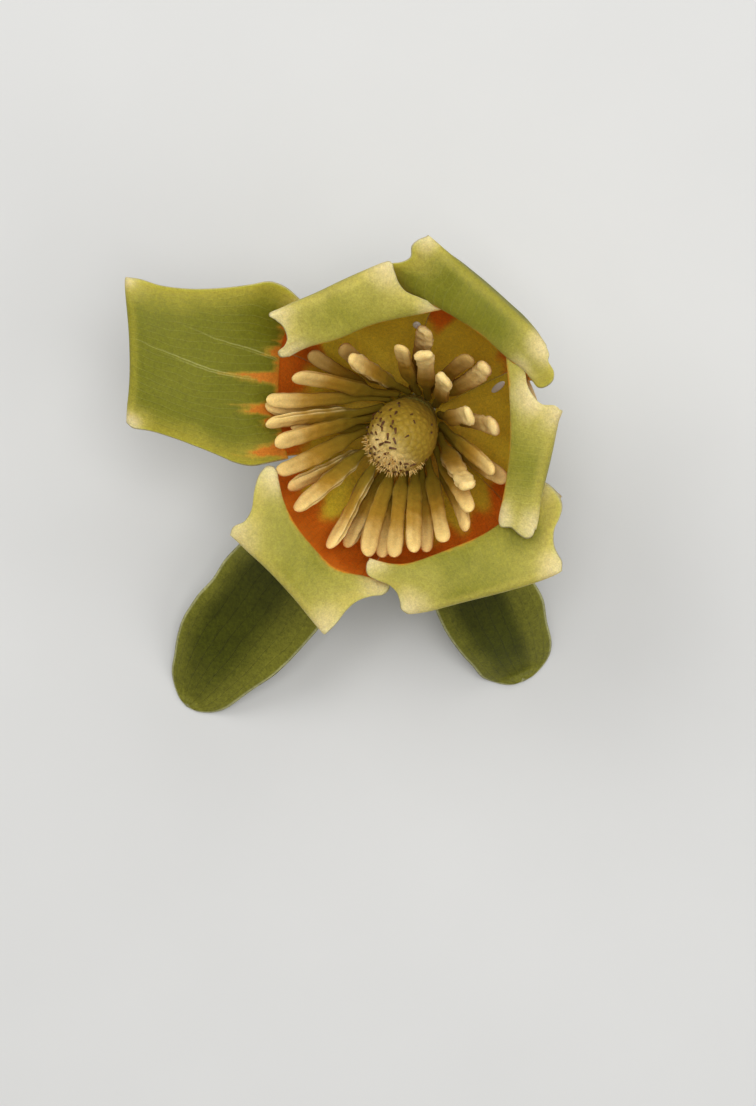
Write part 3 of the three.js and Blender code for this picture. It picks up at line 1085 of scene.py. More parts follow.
@dataclass
class Petal:
    """One petal, from its foot in the cup, over the throat, to the end of its turned-down tip."""

    number: int
    heading: float
    tuck: tuple[float, float]
    throat: Marks
    fold: Marks
    pinch: tuple[float, float] = (0.0, 0.0)
    belly: WallRow = WallRow(18.7, 12.5, 34)
    blade: Optional[Marks] = None
    tip_length: float = 1.0
    hems: tuple[Hem, ...] = ()
    left_sag: float = 0.0
    bumpy: float = 0.15
    flames: tuple[Flame, ...] = ()
    blush_top: float = 3.93
    blush_foot: Mark = (1.7, 1.7, 1.7)
    veins: tuple[tuple[float, float, float], ...] = ()
    paleness: float = 0.5
    blush_soft: float = 0.14
    pale_reach: float = 4.6
    blush_gap: Mark = (0.0, 0.0, 1.0)
    dents: tuple[tuple[float, float], ...] = ()
    pale_corners: tuple[tuple[int, int], ...] = ((4, 0), (4, 2), (6, 0), (6, 2))
    streaks: float = 0.0
    wave: float = 0.25
    foot: WallRow = WallRow(3.5, 1.2, 31)
    hip: WallRow = WallRow(11.8, 4, 33)
    tip_rows: tuple[TipRow, ...] = (TipRow(0.4, 1.9, 0.93), TipRow(0.2, 4.4, 0.78), TipRow(-0.9, 6.8, 0.42))
    thickness: float = 0.72
    lip_thickness: float = 0.56
    lip_arch: float = 0.7
    shoulder_down: float = 0.22
    shoulder_bulge: float = 0.9
    tuck_reach: float = 0.9
    tuck_drop: float = 0.7
    throat_row: float = 4
    fold_row: float = 6
    dent_size: tuple[float, float] = (0.7, 0.3)
    sag_row: float = 4.5
    sag_size: tuple[float, float] = (0.5, 0.3)
    wave_size: float = 3.6
    wave_rows: Fade = (3.6, 4.6)
    swell: float = 0.22
    swell_size: float = 7.5
    swell_rows: Fade = (3.2, 4.4)
    bump_size: float = 3.0
    bump_rows: tuple[float, float] = (6, 0.5)
    lip_rows: Fade = (3, 5)
    round_tip_from: float = 0.9
    tip_roundness: float = 2.3
    edge_roundness: int = 7
    end_shares: tuple[float, float] = (0.012, 0.02)
    flame_sharpness: float = 1.3
    top_waver: float = 0.07
    foot_waver: float = 0.12
    slant_gap: float = 0.05
    grid: BladeGrid = BladeGrid(61, 190)

    def wall_row(self, turn: float, wall: WallRow, push: float) -> Array:
        """A row of the wall, with its edges tucked in or out.

        Args:
            turn: The turn of its middle.
            wall: Its sizes.
            push: How far a tucked edge moves.

        Returns:
            Its right, middle and left marks as x, y, z.
        """
        marks = []
        for side in (-1, 0, 1):
            shift = self.tuck[1 if side > 0 else 0] * push if side else 0.0
            marks.append((turn + side * wall.half_span, wall.reach + shift,
                          wall.rise - shift * self.tuck_drop))
        return place(*np.array(marks).T)

    def rows(self) -> Array:
        """The rows that the petal's surface runs through.

        Returns:
            Rows x 3 marks x 3.
        """
        throat, fold = place(*np.array(self.throat).T), place(*np.array(self.fold).T)
        belly = self.wall_row((self.heading + self.throat[1][0]) / 2, self.belly, self.tuck_reach)
        level = unit(throat * LEVEL)
        shoulder = throat + (belly - throat) * self.shoulder_down + level * self.shoulder_bulge
        outward = unit((fold[1] - throat[1]) * LEVEL)
        lip = place(*np.array(self.blade).T) if self.blade else self.pinched(throat, fold)
        tips = [fold[1] + (fold - fold[1]) * tip.width + outward * tip.out - UP * tip.down * self.tip_length
                for tip in self.tip_rows]
        return np.stack([self.wall_row(self.heading, self.foot, 0),
                         self.wall_row(self.heading, self.hip, self.tuck_reach / 2),
                         belly, shoulder, throat, lip, fold, *tips])

    def pinched(self, throat: Array, fold: Array) -> Array:
        """The row half way across the lip, arched, with its edges drawn in.

        Args:
            throat: The throat's marks.
            fold: The fold's marks.

        Returns:
            The lip's marks.
        """
        lip = (throat + fold) / 2 + UP * self.lip_arch
        right, left = unit(lip[0] - lip[1]), unit(lip[2] - lip[1])
        lip[0] -= right * self.pinch[0]
        lip[2] -= left * self.pinch[1]
        return lip

    @staticmethod
    def across(sides: Array, marks: Array) -> Array:
        """Runs a smooth curve across the petal through three marks."""
        right, middle, left = marks
        return right * sides * (sides - 1) / 2 + middle * (1 - sides**2) + left * sides * (sides + 1) / 2

    @staticmethod
    def surface(rows: Array, sides: Array, shares: Array) -> Array:
        """The petal's middle surface."""
        weights = np.stack([sides * (sides - 1) / 2, 1 - sides**2, sides * (sides + 1) / 2])
        return centripetal(np.einsum("kvs,rkc->rvsc", weights, rows), shares)

    def pull(self, points: Array, sides: Array, row: Array) -> Array:
        """Adds the hems, the dents, the sag and the waves of the edges.

        Args:
            points: V x S x 3.
            sides: V x S.
            row: V x 1 row numbers.

        Returns:
            The moved points.
        """
        across = unit(np.gradient(points, axis=1))
        along = unit(np.gradient(points, axis=0))
        moved = points.copy()
        for hem in self.hems:
            near = np.clip(1 - (1 - hem.edge.value * sides) / hem.width, 0, 1) ** 2
            line = points[:, -1 if hem.edge is Edge.LEFT else 0]
            moved += near[..., None] * hem.moves(line, row[:, 0])[:, None]
        rows, reach = self.dent_size
        for side, out in self.dents:
            weight = bell(row, self.throat_row, rows) * bell(sides, side, reach) * out
            moved += weight[..., None] * unit(points * LEVEL)
        rows, reach = self.sag_size
        moved[..., 2] -= self.left_sag * bell(row, self.sag_row, rows) * bell(sides, 1, reach)
        normal = unit(np.cross(across, along))
        at_edge = np.abs(sides) ** 3
        waves = ripple(points, self.wave_size, self.number) * self.wave
        waves *= smooth(row, *self.wave_rows) * at_edge
        swell = ripple(points, self.swell_size, self.number + 20) * self.swell
        swell *= smooth(row, *self.swell_rows) * (1 - at_edge)
        bumps = ripple(points, self.bump_size, self.number + 40) * self.bumpy * bell(row, *self.bump_rows)
        moved += along * bumps[..., None]
        return moved + normal * (waves + swell)[..., None]

    def skin(self) -> Skin:
        """Builds the petal's closed skin.

        Returns:
            The skin, with the values that its finish reads.
        """
        rows, shares = self.rows(), self.grid.shares()
        row = (shares * (len(rows) - 1))[:, None]
        narrow = rounded_tip(shares, self.round_tip_from, self.tip_roundness)
        sides = self.grid.sides()[None, :] * narrow[:, None]
        full = np.broadcast_to(self.grid.sides()[None, :], sides.shape)
        middle = self.pull(self.surface(rows, sides, shares), full, row)
        wide = self.pull(self.surface(rows, np.clip(full, -0.98, 0.98), shares), full, row)
        normal = unit(np.cross(np.gradient(wide, axis=1), np.gradient(wide, axis=0)))
        thick = self.thickness + (self.lip_thickness - self.thickness) * smooth(row, *self.lip_rows)
        ends = rounded_ends(shares, *self.end_shares)[:, None]
        half = 0.5 * thick * (1 - np.abs(full) ** self.edge_roundness) * ends
        spots = np.stack([middle[np.argmin(np.abs(row[:, 0] - line)), -(mark // 2)]
                          for line, mark in self.pale_corners])
        corner = np.min(np.linalg.norm(middle[:, :, None] - spots[None, None], axis=-1), axis=-1)
        values = {"side": full, "row": np.broadcast_to(row, full.shape), "margin": gap_along(middle),
                  "corner": corner, **self.from_band(rows, full, shares, middle)}
        skin = blade_skin(middle, normal, half, values)
        skin.points = leaning(skin.points)
        return skin

    def from_band(self, rows: Array, full: Array, shares: Array, middle: Array) -> Values:
        """Distances in millimetres from the fold and from the orange band's two edges.

        Args:
            rows: The rows that the petal's surface runs through.
            full: V x S sides, -1 to 1.
            shares: V shares of its length.
            middle: V x S x 3, its middle surface.

        Returns:
            V x S distances by name: past the fold, below the band's top and above its foot.
        """
        step, last = 0.004, len(rows) - 1
        row = (shares * last)[:, None]
        speed = np.linalg.norm(self.surface(rows, full, np.clip(shares + step, 0, 1))
                               - self.surface(rows, full, np.clip(shares - step, 0, 1)), axis=-1)
        speed = np.maximum(speed, 1e-3) / (2 * step * last)
        top = self.blush_top + self.top_waver * np.sin(full * 9 + self.number)
        top = top + self.streaks * (np.sin(full * 37) + np.sin(full * 71 + 1)) / 2
        for flame in self.flames:
            tongue = np.clip(1 - np.abs(full - flame.side) / flame.width, 0, 1) ** self.flame_sharpness
            top = top + flame.length * tongue
        foot = self.across(full, np.array(self.blush_foot))
        foot = foot + self.foot_waver * np.sin(full * 13 + 2 * self.number)
        gap_at, gap_rise, gap_width = self.blush_gap
        foot = foot + gap_rise * bell(full, gap_at, gap_width)
        above = (top - row) * speed
        gap = np.linalg.norm(np.gradient(middle, axis=1), axis=-1)
        slant = np.gradient(above, axis=1) / np.maximum(gap, self.slant_gap)
        return {"fold": (row - self.fold_row) * speed, "above": above / np.sqrt(1 + slant**2),
                "below": (row - foot) * speed}

    def build(self, effects: TissueEffects) -> Piece:
        """Makes the petal's piece.

        Args:
            effects: The shared node groups.

        Returns:
            The piece.
        """
        finish = PetalFinish(effects, f"petal_{self.number}_skin", self.paleness, self.pale_reach,
                             self.blush_soft, self.veins)
        piece = self.skin().object(f"dressed_petal_{self.number}", finish.material())
        return dressed(piece, [f"petal_{self.number}"])


@dataclass
class Corolla:
    """The six petals."""

    petals: tuple[Petal, ...] = (
        Petal(
            1, 355, (-1, -1), pinch=(0.4, 1.5), throat=((321, 17.4, 25.2), (358, 15.4, 25), (38, 18.8, 24.8)),
            fold=((324, 21.9, 26.6), (357, 20.3, 26), (13, 22.3, 26)), paleness=0.45, pale_reach=4.2,
            blush_foot=(1.2, 2.1, 1.7), pale_corners=((4, 0), (5, 2), (6, 0), (6, 2)),
            hems=(
                Hem(Edge.LEFT, (
                    (4, 40.6, 19.2), (4.41, 33.6, 20), (4.57, 29.8, 19.8), (4.77, 25.2, 19.3),
                    (5.04, 19.8, 19.5), (5.35, 15.7, 20.3), (5.7, 14.0, 22), (6, 11.5, 22.6))),
                Hem(Edge.RIGHT, (
                    (4, 321.1, 17.4), (4.29, 319.9, 18.1), (4.66, 322.5, 19.3), (5, 322.4, 20.5),
                    (5.33, 322.8, 21.7), (5.6, 324.7, 22.3), (6, 327.5, 22.2))),
            )),
        Petal(
            2, 55, (1, 1), pinch=(-1.6, 0.2), throat=((22, 20.1, 24.7), (55, 19, 26), (88, 21, 23)),
            fold=((31, 23.9, 27), (56, 24, 27), (84, 28.1, 27)), paleness=0.22, pale_reach=3.6,
            blush_foot=(1.4, 1.4, 1.3), blush_gap=(-0.1, 1.5, 0.3), pale_corners=((4, 0), (6, 0), (6, 2)),
            left_sag=1.8,
            hems=(
                Hem(Edge.LEFT, (
                    (4, 86.8, 20.3), (4.31, 92.4, 21.3), (4.57, 95.2, 22.9), (4.81, 94.0, 24.5),
                    (4.99, 89.4, 24.9), (5.2, 86.6, 25.7), (5.44, 86.3, 27.3), (5.65, 84.6, 28.2),
                    (6, 82.2, 28.9))),
                Hem(Edge.RIGHT, (
                    (4, 32.8, 19.8), (4.41, 27.3, 20), (4.76, 22.1, 20.5), (4.99, 21.4, 21.6),
                    (5.24, 22.8, 22.9), (5.42, 25.6, 23.5), (5.65, 29.7, 23.5), (5.77, 31.0, 24),
                    (6, 33.6, 24.3))),
            )),
        Petal(
            3, 115, (-1, -1), pinch=(1.4, 1.6), tip_length=0.55, paleness=0.68, pale_reach=5.2,
            blush_foot=(2.1, 2.4, 1.4), bumpy=1.0, dents=((0.35, -0.5), (0.75, 0.3)),
            throat=((73, 19.1, 23.5), (108, 17, 25), (144, 20.3, 25)),
            fold=((93, 24.7, 26), (112, 22.9, 26.5), (135, 24.9, 26.5)),
            hems=(
                Hem(Edge.LEFT, (
                    (4, 142.3, 19.2), (4.29, 144.3, 20.2), (4.45, 143.1, 20.9), (4.63, 140.2, 20.7),
                    (4.87, 137.0, 21.1), (5.3, 134.8, 22.7), (5.63, 135.0, 24.1), (6, 134.9, 25.3))),
                Hem(Edge.RIGHT, (
                    (4, 71.5, 19.3), (4.33, 76.3, 19.7), (4.63, 82.1, 20.2), (4.93, 87.5, 20.9),
                    (5.23, 90.1, 22.1), (5.55, 91.4, 23.6), (6, 92.8, 25.1))),
            )),
        Petal(
            4, 175, (1, -1), belly=WallRow(16.5, 8.5, 30),
            throat=((131, 25.5, 16.5), (156, 19.8, 15.5), (191, 18.3, 15.5)),
            blade=((141, 33.4, 21.5), (161, 29, 22), (186, 26.3, 20.5)),
            fold=((150, 43.9, 23.5), (161, 39.25, 24), (177, 38.0, 23)), wave=0.12, paleness=0.1,
            pale_reach=2.6, blush_foot=(1.85, 1.85, 1.85), blush_top=3.98, blush_soft=0.42,
            pale_corners=((4, 0), (6, 0), (6, 2)), streaks=0.14,
            flames=(Flame(-0.26, 0.16, 0.1), Flame(0.01, 0.66, 0.085), Flame(0.1, 0.3, 0.1),
                    Flame(0.42, 0.5, 0.12), Flame(0.58, 0.25, 0.12), Flame(0.86, 0.55, 0.15),
                    Flame(-0.6, 0.12, 0.2), Flame(-1.0, -0.7, 0.35)),
            veins=((-0.19, -0.24, 5.6), (-0.165, -0.235, 5), (0.085, -0.13, 6.3), (0.11, -0.128, 5.8)),
            hems=(
                Hem(Edge.RIGHT, (
                    (4, 127.2, 22.6), (4.19, 127.4, 24.2), (4.38, 128.1, 26.4), (4.56, 130.3, 28.4),
                    (4.76, 134.7, 30), (5.05, 139.8, 32.5), (5.33, 144.3, 35.9), (5.58, 147.1, 39.6),
                    (5.79, 148.1, 42.4), (6, 149.1, 44.1))),
                Hem(Edge.LEFT, (
                    (4, 193.0, 16.9), (4.37, 192.3, 19.6), (4.57, 191.7, 21.8), (4.76, 189.3, 23.8),
                    (4.98, 186.2, 25.7), (5.2, 183.0, 28.3), (5.43, 180.1, 31.6), (5.66, 178.2, 35),
                    (5.87, 177.7, 37.4), (6, 176.9, 38.2))),
            )),
        Petal(
            5, 235, (0, 1), pinch=(1.2, 0.4), paleness=0.74, pale_reach=5.4, blush_foot=(1.7, 1.7, 1.7),
            dents=((0.4, 0.8), (-0.4, -0.2)), throat=((193, 18.8, 25), (229, 19.5, 25), (263, 20.1, 23)),
            fold=((208, 26.4, 26), (230, 25.5, 26), (248, 28.5, 26)),
            hems=(
                Hem(Edge.RIGHT, (
                    (4, 194.0, 17.6), (4.18, 191.1, 17.9), (4.33, 190.2, 18.8), (4.54, 193.1, 20.1),
                    (4.79, 198.2, 21.3), (5.21, 204.4, 22.7), (5.48, 206.9, 24.3), (5.77, 206.9, 26),
                    (6, 208.5, 26.9))),
                Hem(Edge.LEFT, (
                    (4, 264.3, 20.1), (4.16, 265.4, 20.7), (4.39, 263.5, 21.7), (4.62, 259.3, 22.1),
                    (4.9, 254.9, 23.1), (5.21, 252.2, 24.7), (5.55, 250.6, 26.8), (6, 248.7, 28.8))),
            )),
        Petal(
            6, 295, (-1, 1), pinch=(0.6, 0.8), paleness=0.56, blush_foot=(1.5, 1.6, 1.3),
            dents=((-0.45, 0.3), (0.1, -0.2)),
            throat=((255, 17.2, 24.5), (290, 16.9, 24.8), (340, 23.6, 20.2)),
            fold=((271, 23.5, 26), (298, 24, 26), (322, 28.2, 25.5)),
            hems=(
                Hem(Edge.RIGHT, (
                    (4, 255.1, 16.9), (4.2, 254.2, 17.6), (4.46, 255.6, 19), (4.68, 259.8, 19.5),
                    (4.96, 264.9, 19.9), (5.24, 268.2, 20.8), (5.48, 269.6, 22.1), (5.73, 270.1, 23.3),
                    (6, 272.0, 24))),
                Hem(Edge.LEFT, (
                    (4, 342.9, 20.1), (4.25, 342.4, 21.5), (4.47, 340.4, 23.1), (4.65, 337.6, 24.1),
                    (4.82, 334.1, 24.4), (5.05, 330.1, 24.5), (5.31, 326.4, 25.4), (5.49, 324.8, 26.4),
                    (5.71, 323.6, 27.7), (6, 321.6, 28.5))),
            )),
    )

    def build(self, effects: TissueEffects) -> list[Piece]:
        """Makes every petal."""
        return [petal.build(effects) for petal in self.petals]


# ---- Sepals ----


@dataclass
class Sepal:
    """One sepal: it leaves the stalk's top, bends down as it goes out, and rests on its tip.

    Each bulge is an edge, -1 or 1, its place along the sepal, how far it stands out, and its reach.
    """

    number: int
    heading: float
    veer: float
    length: float
    half_width: float
    dip: tuple[float, float]
    bend: tuple[float, float]
    lit_from: tuple[float, float] = (0.0, 0.75)
    notch: float = 0.0
    bulges: tuple[tuple[float, float, float, float], ...] = ()
    thickness: float = 0.82
    arch: float = 1.1
    foot_reach: float = 4.1
    foot_rise: float = 13.4
    foot_half_width: float = 3.1
    full_width_from: float = 0.42
    tip_from: float = 0.55
    tip_roundness: float = 2.6
    edge_roundness: int = 6
    end_shares: tuple[float, float] = (0.01, 0.015)
    wave_size: float = 5.0
    wave_from: Fade = (0.25, 0.6)
    wave_until: Fade = (0.8, 1.0)
    wave_out: float = 0.5
    wave_up: float = 0.55
    groove_depth: float = 0.16
    groove_reach: float = 0.07
    notch_reach: float = 0.16
    notch_from: Fade = (0.93, 1.0)
    rest_softness: float = 0.22
    rib_steps: int = 40
    grid: BladeGrid = BladeGrid(41, 130)

    def rib(self, shares: Array) -> Array:
        """The line along the sepal's middle.

        Args:
            shares: V shares of the length.

        Returns:
            V x 3.
        """
        stride = self.length / self.rib_steps
        points = [place(self.heading, self.foot_reach, self.foot_rise)]
        for step in range(self.rib_steps):
            along = (step + 0.5) / self.rib_steps
            dip = (self.dip[0] + (self.dip[1] - self.dip[0]) * smooth(along, *self.bend)) * DEG
            heading = self.heading + self.veer * along
            points.append(points[-1] + place(heading, stride * math.cos(dip), -stride * math.sin(dip)))
        return centripetal(np.array(points), shares)

    def half_widths(self, shares: Array) -> Array:
        """Half the sepal's width along it.

        Args:
            shares: V shares of the length.

        Returns:
            V half widths: narrow at the foot, widest past the middle, round at the tip.
        """
        width = self.foot_half_width + (self.half_width - self.foot_half_width) * smooth(
            shares, 0, self.full_width_from)
        tip = rounded_tip(shares, self.tip_from, self.tip_roundness)
        return width * tip * np.sqrt(np.clip(shares / self.end_shares[0], 0, 1))

    def skin(self) -> Skin:
        """Builds the sepal's closed skin.

        Returns:
            The skin, with the values that its finish reads.
        """
        shares, sides = self.grid.shares(), self.grid.sides()
        full = np.broadcast_to(sides[None, :], (len(shares), len(sides)))
        side_way = place(self.heading + self.veer + 90, 1, 0)
        rib = self.rib(shares)
        middle = rib[:, None] + side_way * (full * self.half_widths(shares)[:, None])[..., None]
        middle[..., 2] -= self.arch * full**2 * (1 - shares[:, None])
        edge_wave = ripple(middle, self.wave_size, self.number) * np.abs(full) ** 3
        edge_wave = edge_wave * smooth(shares, *self.wave_from)[:, None]
        middle += side_way * (full * edge_wave * self.wave_out)[..., None]
        for edge, at, push, reach in self.bulges:
            near = bell(shares[:, None], at, reach) * np.clip(edge * full, 0, 1) ** 2
            middle += side_way * (edge * push * near)[..., None]
        middle[..., 2] += self.wave_up * edge_wave * (1 - smooth(shares, *self.wave_until))[:, None]
        middle[..., 2] -= bell(full, 0, self.groove_reach) * self.groove_depth * (1 - shares[:, None])
        notch = bell(full, 0, self.notch_reach) * smooth(shares, *self.notch_from)[:, None] * self.notch
        middle -= unit(np.gradient(rib, axis=0))[:, None] * notch[..., None]
        lift = (middle[..., 2] - self.thickness / 2) / self.rest_softness
        middle[..., 2] = self.thickness / 2 + self.rest_softness * np.logaddexp(0, lift)
        across, along = np.gradient(middle, axis=1), np.gradient(middle, axis=0)
        across[np.linalg.norm(across, axis=-1) < 1e-6] = side_way
        normal = unit(np.cross(across, along))
        ends = rounded_ends(shares, *self.end_shares)[:, None]
        half = 0.5 * self.thickness * (1 - np.abs(full) ** self.edge_roundness) * ends
        # lit: where across the sepal its painted light lies
        values = {"side": full, "lit": smooth(full, *self.lit_from),
                  "along": np.broadcast_to(shares[:, None], full.shape),
                  "margin": np.minimum(gap_along(middle), (1 - shares[:, None]) * self.length)}
        return blade_skin(middle, normal, half, values)

    def build(self, finish: Material) -> Piece:
        """Makes the sepal's piece."""
        piece = self.skin().object(f"dressed_sepal_{self.number}", finish)
        return dressed(piece, [f"sepal_{self.number}"])


@dataclass
class Calyx:
    """The three turned-back sepals."""

    sepals: tuple[Sepal, ...] = (
        Sepal(1, 230.5, 3, 53.4, 8, (-6, 38), (0, 1), notch=0.3,
              bulges=((-1, 0.55, 0.3, 0.06), (-1, 0.75, 0.85, 0.1), (-1, 0.92, 0.2, 0.04),
                      (1, 0.58, 0.5, 0.1), (1, 0.84, -0.7, 0.12))),
        Sepal(2, 293, 1, 44, 7.6, (-10, 54), (0, 1), lit_from=(0.16, 0.5), notch=0.7,
              bulges=((1, 0.5, -1.0, 0.08), (1, 0.7, -0.45, 0.1), (-1, 0.8, -0.7, 0.1),
                      (1, 0.9, 0.15, 0.08))),
        Sepal(3, 100, 0, 30, 6.5, (6, 172), (0.12, 0.86)),
    )

    def build(self, effects: TissueEffects) -> list[Piece]:
        """Makes every sepal."""
        finish = SepalFinish(effects).material()
        return [sepal.build(finish) for sepal in self.sepals]


# ---- Stamens ----


@dataclass
class StamenRing:
    """A ring of stamens. Each tip is its turn, its reach and its share of the full length."""

    name: str
    foot_reach: float
    foot_rise: float
    first_turn: float
    first_number: int
    tips: tuple[tuple[float, ...], ...]
    open_slits: tuple[int, ...] = ()
    crumpled: tuple[int, ...] = ()
    # stamens, by place in the ring, that are painted darker as painted shade, lying behind and below in shade
    painted_shade: tuple[int, ...] = ()
    length: float = 21.5
    half_width: float = 1.12
    half_thickness: float = 0.64
    foot_half_width: float = 0.5
    bulge: float = 0.08
    anther_from: tuple[float, float] = (0.22, 0.42)
    anther_until: Fade = (0.88, 0.97)
    round_from: float = 0.86
    tip_roundness: float = 3.2
    squareness: float = 0.86
    sway: float = 0.3
    valley_reach: float = 0.24
    valley_depth: float = 0.2
    slit_reach: float = 0.2
    open_slit: float = 0.42
    shut_slit: float = 0.1
    lip_at: float = 0.42
    lip_reach: float = 0.14
    open_lip: float = 0.13
    shut_lip: float = 0.02
    frill: float = 0.7
    crumpled_round_from: float = 0.93
    crumpled_swell: float = 0.06
    crumpled_fade: float = 0.62
    around: int = 30
    rings: int = 72

    def path(self, index: int, shares: Array) -> Array:
        """The line along a stamen.

        Args:
            index: The stamen's place in the ring.
            shares: V shares of the length.

        Returns:
            V x 3.
        """
        turn, reach, share = (*self.tips[index], 1.0)[:3]
        foot = place(self.first_turn + 360 * index / len(self.tips), self.foot_reach, self.foot_rise)
        run = reach - self.foot_reach
        tip = place(turn, reach, self.foot_rise + math.sqrt((share * self.length) ** 2 - run**2))
        bend = foot + (tip - foot) * 0.45 + np.array([0, 0, self.bulge * run])
        s = shares[:, None]
        return foot * (1 - s) ** 2 + bend * 2 * s * (1 - s) + tip * s**2

    def stamen(self, index: int) -> Skin:
        """Builds one stamen: a thin filament, and a two-lobed anther with a slit down each side.

        Args:
            index: The stamen's place in the ring.

        Returns:
            Its skin.
        """
        rng = np.random.default_rng(100 * self.first_number + index)
        opened, crumpled = index in self.open_slits, index in self.crumpled
        shares = np.concatenate([[0], np.linspace(0.004, 1, self.rings) ** 0.92, [1]])
        line = self.path(index, shares)
        ahead, tip = unit(np.gradient(line, axis=0)), line[-1]
        width_way = unit(np.array([-tip[1], tip[0], 0.0]))
        thick_way = unit(np.cross(width_way, ahead))
        width_way = unit(np.cross(ahead, thick_way))
        sway = (rng.uniform(-1, 1, 2) * self.sway)[:, None] * np.sin(shares * math.pi * rng.uniform(1.2, 2.2))
        line = line + width_way * sway[0][:, None] + thick_way * (sway[1] * 0.5)[:, None]
        twist = rng.uniform(-0.45, 0.45) * shares + rng.uniform(-0.15, 0.15)
        if opened:
            twist = rng.choice([-1, 1]) * rng.uniform(0.6, 0.95) * smooth(shares, 0.1, 0.5)

        widen = smooth(shares, *self.anther_from)
        half_width = self.foot_half_width + (self.half_width - self.foot_half_width) * widen
        half_width = half_width * (1.1 if crumpled else 1 + 0.08 * rng.uniform(-1, 1)) * (1 + 0.07 * np.sin(
            shares * rng.uniform(7, 12) + rng.uniform(0, 6)) * widen)
        round_from = self.crumpled_round_from if crumpled else self.round_from
        end = rounded_tip(shares, round_from, self.tip_roundness)
        if crumpled:
            end = end * (1 + self.crumpled_swell * smooth(shares, 0.7, 0.95))

        angle = np.linspace(0, 2 * math.pi, self.around, endpoint=False)
        x, y = (np.sign(v) * np.abs(v) ** self.squareness for v in (np.cos(angle), np.sin(angle)))
        anther = (widen * (1 - smooth(shares, *self.anther_until)))[:, None]
        at_side = np.abs(x) > 0.5
        valley = bell(x, 0, self.valley_reach)
        slit = bell(np.abs(y), 0, self.slit_reach) * at_side
        lip = bell(np.abs(y), self.lip_at, self.lip_reach) * at_side
        frill = 1 + self.frill * np.sin(shares * rng.uniform(26, 38) + rng.uniform(0, 6))[:, None]
        x_scale = 1 - (self.open_slit if opened else self.shut_slit) * slit[None, :] * anther
        x_scale = x_scale + (self.open_lip if opened else self.shut_lip) * lip[None, :] * anther * frill
        y_scale = 1 - (self.valley_depth * valley)[None, :] * anther
        across = x[None, :] * x_scale * (half_width * end)[:, None]
        through = y[None, :] * y_scale * (self.half_thickness * (0.75 + 0.25 * widen) * end)[:, None]
        cos, sin = np.cos(twist)[:, None], np.sin(twist)[:, None]
        points = (line[:, None] + width_way[:, None] * (across * cos - through * sin)[..., None]
                  + thick_way[:, None] * (across * sin + through * cos)[..., None])

        outward = unit(points - line[:, None] + 1e-9)
        if crumpled:
            bumps = ripple(points, 1.2, index) * 0.24 + ripple(points, 0.5, index + 60) * 0.13
            near_tip = smooth(shares, 0.5, 0.95)
        else:
            bumps, near_tip = ripple(points, 1.4, index) * 0.1, widen
        points = points + outward * (bumps * (near_tip * end)[:, None])[..., None]
        groove = (slit * (1.0 if opened else 0.4) + 0.25 * valley * (np.sin(angle) < 0))[None, :] * anther
        lips = (lip * (1.0 if opened else 0.12))[None, :] * anther * np.clip(frill, 0.3, 1)
        if crumpled:
            lips = lips + (0.35 + 0.65 * smooth(bumps, -0.1, 0.12)) * smooth(shares, 0.72, 0.96)[:, None]
        along = with_ends(np.repeat(shares[1:-1], self.around), 0, 1)
        points = leaning(np.concatenate([points[1:-1].reshape(-1, 3), line[[0, -1]]]))
        values = {
            # the crumpled ones reach their pale colours sooner: partly their own paler tips, partly painted
            # light on their shaded middles
            "along": along ** (self.crumpled_fade if crumpled else 1.0),
            "groove": with_ends(np.clip(groove, 0, 1)[1:-1]),
            "lip": with_ends(np.clip(lips, 0, 1)[1:-1]),
            # tint: a random tone, or 1.5 for painted shade on the stamens that lie in shade
            "tint": np.full(len(points), 1.5 if index in self.painted_shade else rng.uniform(0, 0.6)),
        }
        return tube_skin(points, self.rings, self.around, values)

    def build(self, finish: Material) -> Piece:
        """Makes the ring's piece.

        Args:
            finish: The stamens' material.

        Returns:
            The piece.
        """
        count = len(self.tips)
        piece = Skin.joined(self.stamen(i) for i in range(count)).object(self.name, finish)
        nodes = [f"stamen_{self.first_number + i}" for i in range(count)]
        return dressed(piece, nodes)


@dataclass
class Androecium:
    """The two rings of stamens."""

    rings: tuple[StamenRing, ...] = (
        StamenRing("dressed_outer_stamens", 4.6, 3.1, 10, 1,
                   ((9, 13.3), (41, 15.6), (50, 14.9), (77, 15.5), (124, 15.4), (138, 17.6), (169, 19.7),
                    (176, 16, 0.82), (205, 17.9, 0.95), (243, 17.8, 0.95), (260, 17.2), (281, 16.3),
                    (305, 15.7), (337, 15.5)),
                   open_slits=(6, 8, 9), crumpled=(0, 1, 3), painted_shade=(2, 3, 4, 5)),
        StamenRing("dressed_inner_stamens", 4.5, 5.4, 16, 15,
                   ((20, 10.3), (54, 11), (75, 12.8), (91, 13.3), (121, 13.6), (150, 17.4), (164, 19.8),
                    (174.5, 19.1), (181.5, 17.7), (195, 18.1), (214, 18.1), (236, 18.6), (253, 17.1),
                    (266, 16.4), (276, 15.7), (293, 15.4), (315, 13.6), (326, 11.3), (342, 13.5)),
                   open_slits=(4, 7, 10, 11, 17), crumpled=(0, 1, 2, 17)),
    )

    def build(self, effects: TissueEffects) -> list[Piece]:
        """Makes both rings."""
        finish = StamenFinish(effects).material()
        return [ring.build(finish) for ring in self.rings]


# ---- Cone of pistils ----


